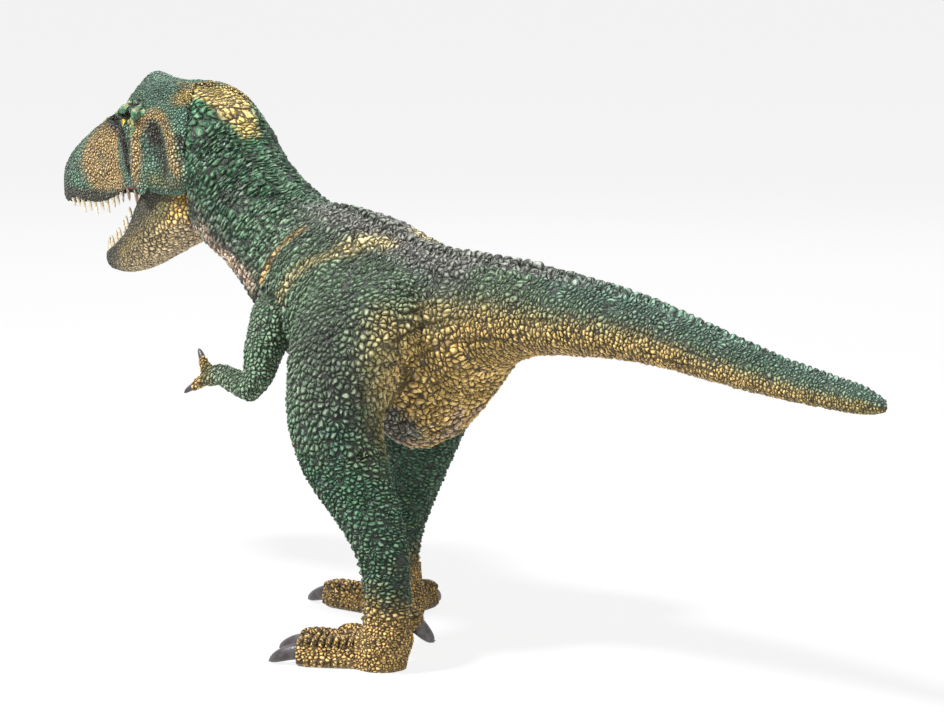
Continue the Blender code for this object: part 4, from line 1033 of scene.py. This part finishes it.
def ball(centre, radius, way, squash, rings=6, sides=10):
    """A small closed ball, squashed along a direction, as triangles."""
    shape = bmesh.new()
    bmesh.ops.create_uvsphere(shape, u_segments=sides, v_segments=rings, radius=radius)
    verts, normals, faces = shape_arrays(shape)
    turn = Vector(way).to_track_quat("Z", "Y").to_matrix()
    return np.array([(turn @ Vector((x, y, z * squash)))[:] for x, y, z in verts]) + centre, faces


def tube(rings):
    """A closed skin over rings of points, as triangles."""
    sides, last = len(rings[0]), (len(rings) - 1) * len(rings[0])
    verts = np.vstack([*rings, *(np.mean(ring, axis=0, keepdims=True) for ring in (rings[0], rings[-1]))])
    steps = [(j, (j + 1) % sides) for j in range(sides)]
    faces = [face for i in range(0, last, sides) for j, k in steps
             for face in ((i + j, i + k, i + k + sides), (i + j, i + k + sides, i + j + sides))]
    for j, k in steps:
        faces += [(last + sides, k, j), (last + sides + 1, last + j, last + k)]
    return verts, np.array(faces)


def lip_strip():
    """The upper lip's wall, which hangs down over the gum, from the right end round the snout to the left end."""
    left, right = (LIP_LINE[:, [1, 0, 2]] * (side, 1, 1) + (MIDDLE, 0, 0) for side in (1, -1))
    line = np.vstack((right[::-1], LIP_FRONT, left))
    ways = np.gradient(line[:, :2], axis=0)
    out = np.column_stack((-ways[:, 1], ways[:, 0], np.zeros(len(ways))))
    out /= np.linalg.norm(out, axis=1, keepdims=True)
    out *= np.sign(((line - (MIDDLE, -105.0, 0)) * out)[:, :2].sum(axis=1))[:, None]
    rings = []
    for point, way in zip(line, out):
        top = max(LIP_RISE, LIP_TOP - point[2]) if point[1] > LIP_REAR else LIP_RISE
        rings.append(np.array([point + way * across + (0, 0, rise if rise < LIP_RISE else top)
                               for across, rise in LIP_SECTION]))
    return tube(rings)


def clipped(solid, place, way):
    """A solid without what lies beyond a plane."""
    shape = bmesh.new()
    made = [shape.verts.new(v) for v in solid[0]]
    for f in solid[1]:
        shape.faces.new([made[i] for i in f])
    cut = bmesh.ops.bisect_plane(shape, geom=shape.verts[:] + shape.edges[:] + shape.faces[:],
                                 plane_co=place, plane_no=way, clear_outer=True)
    bmesh.ops.holes_fill(shape, edges=[item for item in cut["geom_cut"] if isinstance(item, bmesh.types.BMEdge)])
    verts, normals, faces = shape_arrays(shape)
    return verts, faces


def pin_caps():
    """Thin skin over the ends of the jaw pin."""
    out = []
    for side in (1, -1):
        angles = np.linspace(0, 2 * math.pi, 20, endpoint=False)[::side]
        edge = HINGE[0] + 2.1 * np.cos(angles), HINGE[1] + 2.1 * np.sin(angles)
        out.append(tube([np.column_stack((np.full(20, MIDDLE + side * reach), *edge)) for reach in (12.85, 13.35)]))
    return out


def make_head():
    """Sculpts and paints skull, cheeks, snout and lip as one skin, with the palate in it."""
    bone = Surface(*node_arrays("head"))
    bumps = []
    for pixel, radius in KNOBS + SNOUT_BEADS:
        place, way = bone.at_pixel(*pixel)
        for spot, facing in ((place, way), bone.other_side(place)):
            bumps.append((spot + facing * radius * 0.45, radius * 1.1, facing))
    gum = clipped(node_arrays("upper_mouth"), *GUM_PLANE)
    lip = lip_strip()
    hide = Hide([node_arrays("head", 0.15), gum, lip, *pin_caps(), *(ball(*bump, 0.9) for bump in bumps)],
                HEAD_VOXEL, 10)
    points = hide.verts.copy()
    # The palate's skin: what lies on the gum and nearer to it than to bone and lip
    lining, trees = Surface(*gum).tree, (bone.tree, Surface(*lip).tree)
    hide.owner = np.zeros(len(points), int)
    for i in np.flatnonzero((points[:, 2] < 112) & (points[:, 1] < -100)):
        point = Vector(points[i])
        gap = lining.find_nearest(point)[3]
        hide.owner[i] = gap < 0.30 and all(tree.find_nearest(point)[3] > gap for tree in trees)
    skin = 1.0 - hide.owner
    surface = hide.surface()
    for form in HEAD_FORMS:
        swell_pair(hide, surface, *form)
    for (y, z), radii, height in CROWN_FORMS:
        swell(hide, (MIDDLE, y, z), radii, height)
    hinge_gap = np.hypot(points[:, 1] - HINGE[0], points[:, 2] - HINGE[1])
    hide.push *= np.where(hide.push < 0, ramp(hinge_gap, 2.5, 6.0), 1) * skin * ramp(points[:, 2], 96, 108)
    hide.lift(3)
    for fold in HEAD_FOLDS:
        crease(hide, surface, *fold)
    knob, ring = np.zeros((2, len(points)))
    for spot, radius, facing in bumps:
        gap = np.linalg.norm(points - spot, axis=1) / radius
        knob = np.maximum(knob, ramp(1.04 - gap, 0, 0.16))
        ring = np.maximum(ring, ramp(1.55 - gap, 0, 0.25) * (radius > 0.54))
    hide.darken(0.95 * ring)
    hide.wash *= 1 - knob
    # Nostrils, guessed on the far end of the snout
    for side in (1, -1):
        spot = bone.nearest((MIDDLE + side * 5.2, -130.5, 112.0))[0]
        hole = np.exp(-np.linalg.norm((points - spot) / (1.1, 1.0, 0.8), axis=1) ** 2)
        hide.push -= 0.9 * hole
        hide.darken(hole)
    crown = ramp(points[:, 1], -100, -88) * ramp(points[:, 2], 108, 118)
    hide.grain = warped(head_grain(points, 0.74), points)
    dome, random = cells(hide.grain)
    hide.push += (0.20 + 0.10 * crown) * (1 - 0.85 * knob) * skin * (dome - 0.5 + 0.3 * (random - 0.5))
    hide.push += 0.08 * noise(points, 3.0) * skin
    hide.lift()
    hide.bare = np.maximum(knob * 0.8, hide.owner)
    paint_head(hide, surface, points, knob)
    hide.wash[hide.owner == 1] = 0
    return hide.done()


def paint_head(hide, surface, points, knob):
    """Coats and airbrush strokes of the head, in the order in which they cover each other."""
    def dab(colour, strength, radius, *pixels):
        brush(hide, colour, strength * stroke(hide, surface, pixels, radius))
    hide.paint[:] = HEAD_TEAL
    brush(hide, DULL_GREEN, 0.7 * ramp(noise(points, 5.0), 0.0, 0.7))
    brush(hide, LIP_GREY, 0.8 * ramp(-points[:, 1], 120, 131))
    dab(SNOUT_GREEN, 1.2, 2.6, (80, 140), (92, 130), (104, 122), (114, 118))
    dab(TAN, 1.9, 4.0, (103, 136), (95, 150), (95, 166), (104, 180))
    dab(TAN, 1.9, 3.0, (114, 132), (113, 150), (115, 168), (118, 180))
    brush(hide, LIP_GREY, ramp(104.2 - points[:, 2] + 0.9 * noise(points, 3.0), 0, 2.2) * ramp(-points[:, 1], 101, 106))
    dab(CHEEK_BROWN * 0.5, 1.6, 2.0, (113, 118), (119, 128), (125, 145), (129, 165))
    dab(TAN, 1.8, 1.7, (134, 130), (136, 142), (137, 156), (136, 178))
    dab(TAN, 1.6, 1.5, (138, 131), (144, 121), (155, 114), (166, 126), (171, 140), (173, 158), (178, 172))
    dab(CHEEK_BROWN, 1.8, 2.6, (152, 133), (156, 150), (161, 168))
    dab(CHEEK_BROWN, 1.1, 1.3, (180, 140), (186, 152), (192, 163))
    dab(MUSTARD, 0.8, 2.0, (150, 180), (165, 184), (178, 182))
    dab(SNOUT_GREEN, 0.8, 1.6, (194, 170), (194, 145), (192, 118), (188, 98))
    dab(HEAD_TEAL, 1.2, 3.0, (150, 84), (160, 80), (170, 86), (160, 96))
    dab(NAPE_YELLOW, 0.9, 1.6, (182, 80), (190, 81), (198, 85))
    brush(hide, KNOB_GREEN, knob)
    # Painted highlight: the upward-facing tops of the knobs are paler
    brush(hide, PALE_OCHRE, 0.35 * knob * ramp(hide.normals[:, 2], 0.35, 0.85))
    brush(hide, NAPE_YELLOW, ramp(points[:, 1], -85, -80)
          * ramp(points[:, 2] + 1.5 * noise(points, 4.0), 125.5, 128.0))
    brush(hide, PALE_OCHRE, knob * 0.35 * ramp(noise(points, 1.0), 0.0, 0.6))
    dab(NAPE_YELLOW, 1.0, 0.7, (131, 121), (133, 127))


def make_jaw():
    hide = Hide([node_arrays("lower_jaw", 0.1)], HEAD_VOXEL, 10)
    surface, points = hide.surface(), hide.verts.copy()
    large = stroke(hide, surface, ((188, 195), (186, 212), (172, 230), (156, 246)), 5.5)
    large = large + 0.15 * noise(points, 3.0) > 0.4
    hide.grain = head_grain(points, 0.80)
    hide.grain[large] = points[large] / 1.35 * FLIP + 300
    hide.grain = warped(hide.grain, points, 0.2)
    hide.push += (0.20 + 0.12 * large) * (cells(hide.grain)[0] - 0.5)
    hide.lift()
    hide.ink = 0.45 + 0.2 * large
    hide.paint[:] = JAW_GREY
    for colour, strength, radius, pixels in (
            (JAW_GOLD, 1.5, 5.0, ((190, 195), (187, 215), (174, 234), (158, 250), (143, 262))),
            (MUSTARD, 0.8, 2.2, ((165, 205), (155, 225), (140, 245), (128, 258)))):
        brush(hide, colour, strength * stroke(hide, surface, pixels, radius))
    # Cream underside of the jaw, with painted bounce light from below in it
    brush(hide, JAW_CREAM_AND_BOUNCE_LIGHT, ramp(-hide.normals[:, 2], 0.0, 0.6) * ramp(points[:, 1], -117, -108))
    return hide.done()


def make_floor_of_mouth():
    """Tongue and gum of the lower jaw."""
    hide = Hide([clipped(node_arrays("lower_mouth"), *TONGUE_PLANE)], MOUTH_VOXEL, 2)
    hide.grain = head_grain(hide.verts, 0.9)
    hide.bare[:] = 1
    return hide.done()


def spike(root, tip, bend, radius, sides=10, rows=9):
    """A curved cone with a blunt end, from a root to a tip."""
    root, tip = np.asarray(root, float), np.asarray(tip, float)
    knee = 0.5 * (root + tip) + bend
    angles = np.linspace(0, 2 * math.pi, sides, endpoint=False)
    rings = []
    for t in np.arange(rows) / (rows - 1):
        centre = (1 - t) ** 2 * root + 2 * t * (1 - t) * knee + t * t * tip
        way = Vector((1 - t) * (knee - root) + t * (tip - knee))
        turn = way.to_track_quat("Z", "Y").to_matrix()
        size = math.sqrt(max(0.0, 1 - t ** 1.7)) * (1 - BLUNT) + BLUNT * (1 - t ** 6)
        size = radius * max(size, SMALLEST)
        rings.append(np.array([centre + turn @ Vector((size * math.cos(a), size * math.sin(a), 0)) for a in angles]))
    return tube(rings)


# Share of the radius that stays up to the tip of a tooth or claw, and the least share
BLUNT, SMALLEST = 0.18, 0.05
# Teeth: place along the jaw, and length
UPPER_TEETH = ((-132.0, 2.3), (-129.8, 2.5), (-127.3, 3.4), (-124.7, 2.5), (-122.2, 3.6), (-119.8, 2.7),
               (-117.4, 3.5), (-115.0, 2.4), (-112.6, 3.2), (-110.2, 2.4), (-107.9, 2.3), (-105.8, 1.7))
LOWER_TEETH = ((-118.8, 1.9), (-117.1, 2.4), (-115.1, 2.2), (-113.0, 2.6), (-110.8, 2.3), (-108.7, 2.5),
               (-106.7, 2.1), (-104.8, 1.8))


def tooth_rows(teeth, rim, up, stagger, inset, sunk, lean, curl, radius):
    """Teeth along both sides of a jaw: up or down, how far in from the rim and sunk below it, and how they bend."""
    solids = []
    for index, (y, length) in enumerate(teeth):
        for side in (1, -1):
            place = y + stagger * side * (index % 2)
            half, high = (np.interp(place, rim[:, 0], rim[:, column]) for column in (1, 2))
            root = np.array((MIDDLE + side * (half - inset), place, high - up * sunk))
            tip = root + (lean[0] * side, lean[1] * length, up * (sunk + length))
            solids.append(spike(root, tip, (-lean[0] * side, curl, 0), radius))
    return solids


def upper_teeth():
    solids = tooth_rows(UPPER_TEETH, LIP_LINE, -1, 0.3, 1.25, 1.6, (-0.25, 0.38), -0.35, 0.58)
    for x in (MIDDLE + 1.6, MIDDLE - 1.6):
        solids.append(spike((x, -132.6, 104.8), (x, -131.7, 101.4), (0, -0.3, 0), 0.55))
    return solids


def plain_piece(name, solids, body, material):
    """A piece from closed solids, smooth-shaded."""
    verts, faces = join_arrays(solids)
    mesh = mesh_of(name, verts * MM, faces)
    mesh.shade_smooth()
    finish_piece(name, mesh, body, material)


# Claws of the hands: middles of the palms, ways of the left and right fingers, and their length
PALMS = ((18.4, -57.0, 61.5), (-26.2, -57.0, 61.5))
FINGERS = ((0.35, -0.75, -0.55), (-0.10, -0.55, 0.75))
FINGER_LENGTH = 6.0


def claw_solids():
    """Claws of the toes, the spurs and the hands."""
    solids = []
    for (x, y), heading, length in TOES:
        heading, foot = np.array((*heading, 0)), np.array((x, y, 0.0))
        start, end = foot + heading * length * 0.68 + (0, 0, 3.3), foot + heading * (length + 0.4) + (0, 0, 0.55)
        solids.append(spike(start, end, (0, 0, 1.15), 2.0, sides=16, rows=12))
    for root, heading in np.array(SPURS):
        start, end = SPUR_LENGTH * (SPUR_CLAW - 0.12), SPUR_LENGTH * 1.15 + 0.5
        solids.append(spike(root + heading * start, root + heading * end, (0, 0, 0), SPUR_RADIUS, sides=14, rows=10))
    for palm in PALMS:
        for finger in FINGERS:
            way = np.array(finger) / np.linalg.norm(finger)
            start, end = palm + way * (FINGER_LENGTH - 1.6), palm + way * (FINGER_LENGTH + 2.0)
            solids.append(spike(start, end, (0, 0, 0.25), 0.85))
    return solids


def claw_material():
    """Dark horn with paler clouds and fine streaks."""
    tree = Tree("claw horn", 0.34, 0.5)
    place = tree.place()
    cloud, streak = tree.noise(place, 420.0, 4.0), tree.noise(place, 1500.0)
    colour = tree.mix(tree.span(cloud, 0.35, 0.65), tone(56, 52, 54), tone(88, 82, 82))
    colour = tree.mix(tree.times(tree.span(streak, 0.5, 0.7), 0.4), colour, tone(40, 38, 40))
    return tree.wear(Base_Color=colour, Roughness=tree.span(streak, 0.3, 0.7, 0.26, 0.46),
                     Normal=tree.bump(streak, 0.00012, 0.6))


def cloudy_material(name, roughness, specular, scale, spread, dark, pale, bump):
    """A colour that shifts in soft clouds, with a bump to match: its depth and strength."""
    tree = Tree(name, roughness, specular)
    cloud = tree.noise(tree.place(), scale)
    colour = tree.mix(tree.span(cloud, 0.5 - spread, 0.5 + spread), dark, pale)
    return tree.wear(Base_Color=colour, Normal=tree.bump(cloud, *bump))


# A point beside the left eye
EYE_AT = (9.0, -99.0, 121.0)


def make_eyes():
    """Yellow eyes with an upright dark pupil, set under the knobs."""
    bone = Surface(*node_arrays("head"))
    place, way = bone.nearest(EYE_AT)
    for side, (spot, facing) in (("left", (place, way)), ("right", bone.other_side(place))):
        centre = spot + facing * 0.25
        eye = ball(centre, 1.15, facing, 0.75, rings=16, sides=24)
        plain_piece(side + "_eye", [eye], "figure", eye_material(side, centre + facing * 0.8))


def eye_material(side, pupil):
    tree = Tree(side + " eye", 0.12, 0.6)
    place = tree.place()
    offset = tree.vector("MULTIPLY", tree.vector("SUBTRACT", place, tuple(pupil * MM)), (1.0, 1.0, 0.45))
    cloud = tree.noise(place, 2400.0)
    yellow = tree.mix(cloud, tone(236, 196, 20), tone(252, 224, 60))
    dark = tree.span(tree.vector("LENGTH", offset, output="Value"), 0.00036, 0.00026)
    return tree.wear(Base_Color=tree.mix(dark, yellow, (0.01, 0.01, 0.01)), Normal=tree.bump(cloud, 0.00003, 0.3))


def pin_material():
    tree = Tree("pin steel", 0.35)
    brushed = tree.noise(tree.place(), 1800.0)
    return tree.wear(Metallic=1.0, Base_Color=tree.mix(brushed, (0.42, 0.42, 0.43), (0.62, 0.62, 0.62)))


# Stage


# Lights: name, place, size and power
LIGHTS = (("key light", (0.50, -0.15, 0.95), 0.16, 14.2), ("fill light", (0.35, 0.95, 0.30), 0.40, 2.4),
          ("back light", (-0.7, -0.5, 0.6), 0.60, 2.0))
LIGHT_AIM = (0.0, 0.0, 0.06)
# Strength of the surroundings as a light, and share of the floor's own white
AMBIENT, GLOW = 0.22, 0.86


def place_facing(name, data, place, way):
    item = placed(name, data)
    item.location = place
    item.rotation_euler = way.to_track_quat("-Z", "Y").to_euler()
    return item


def seen_rays(tree):
    """One for rays that show a thing itself, straight, mirrored or through glass, and zero for those that light."""
    path = add_node(tree, "ShaderNodeLightPath").outputs
    seen = path["Is Camera Ray"]
    for name in ("Is Glossy Ray", "Is Transmission Ray"):
        seen = add_node(tree, "ShaderNodeMath", {0: seen, 1: path[name]}, operation="MAXIMUM").outputs[0]
    return seen


def set_stage():
    scene = bpy.context.scene
    scene.view_settings.view_transform = "Standard"
    data = bpy.data.cameras.new("camera")
    data.lens, data.sensor_width, data.sensor_fit = LENS, SENSOR, "HORIZONTAL"
    data.clip_start, data.clip_end = 0.05, 20.0
    scene.camera = place_facing("camera", data, CAMERA_AT * MM, Vector(CAMERA_AIM) - Vector(CAMERA_AT))
    for name, place, size, power in LIGHTS:
        data = bpy.data.lights.new(name, "AREA")
        data.shape, data.size, data.energy = "DISK", size, power
        place_facing(name, data, place, Vector(LIGHT_AIM) - Vector(place))

    world = bpy.data.worlds.new("world")
    scene.world = world
    world.use_nodes = True
    tree = world.node_tree
    light = tree.nodes["Background"].inputs
    light["Color"].default_value = (1.0, 1.0, 1.0, 1.0)
    level = add_node(tree, "ShaderNodeMapRange", {"Value": seen_rays(tree), "To Min": AMBIENT, "To Max": 1.0})
    plug(tree, level.outputs[0], light["Strength"])

    shape = bmesh.new()
    bmesh.ops.create_grid(shape, x_segments=40, y_segments=40, size=6.0)
    mesh = bpy.data.meshes.new("floor")
    shape.to_mesh(mesh)
    shape.free()
    mesh.materials.append(floor_material())
    floor = placed("floor", mesh)
    floor.location.z = CAD_BOX[0][2] - 0.00002


def floor_material():
    """White sheet: its own white with the shadow showing through it."""
    tree = Tree("floor", 1.0, 0.0)
    tree.wear(Base_Color=tree.mix(tree.noise(tree.place(), 40.0), (0.93, 0.93, 0.93), (0.95, 0.95, 0.95)))
    share = tree.times(seen_rays(tree.tree), GLOW)
    blend = tree.add("MixShader", enumerate((share, tree.shader.outputs[0], tree.add("Emission"))))
    plug(tree.tree, blend, tree.tree.nodes["Material Output"].inputs["Surface"])
    return tree.material


def main():
    skin, ivory, horn = hide_material(), cloudy_material(
        "tooth ivory", 0.28, 0.5, 900.0, 0.2, tone(214, 200, 166), tone(240, 234, 214), (0.0001, 0.5)), claw_material()
    gum = cloudy_material("gums", 0.35, 0.4, 700.0, 0.15, tone(150, 84, 80), tone(196, 120, 108), (0.0002, 0.6))
    body = make_body()
    owner = body.owner[body.faces[:, 0]]
    for index, (name, slot) in enumerate(BODY_SLOTS.items()):
        piece_of(body, name + "_hide", owner == index, "figure", (name,), skin)
    head = make_head()
    owner = head.owner[head.faces].min(axis=1)
    piece_of(head, "head_hide", owner == 0, "figure", ("head",), skin)
    piece_of(head, "upper_mouth_lining", owner == 1, "figure", ("upper_mouth",), gum)
    jaw, floor = make_jaw(), make_floor_of_mouth()
    piece_of(jaw, "jaw_hide", slice(None), "jaw", ("lower_jaw",), skin)
    piece_of(floor, "lower_mouth_lining", slice(None), "jaw", ("lower_mouth",), gum)
    plain_piece("upper_teeth", upper_teeth(), "figure", ivory)
    lower = tooth_rows(LOWER_TEETH, JAW_RIM, 1, 0.4, 1.0, 0.9, (0.15, -0.20), -0.25, 0.55)
    plain_piece("lower_teeth", lower, "jaw", ivory)
    plain_piece("claws", claw_solids(), "figure", horn)
    make_eyes()
    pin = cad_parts["jaw_pin"]
    pin.data.materials.clear()
    pin.data.materials.append(pin_material())
    set_stage()


main()
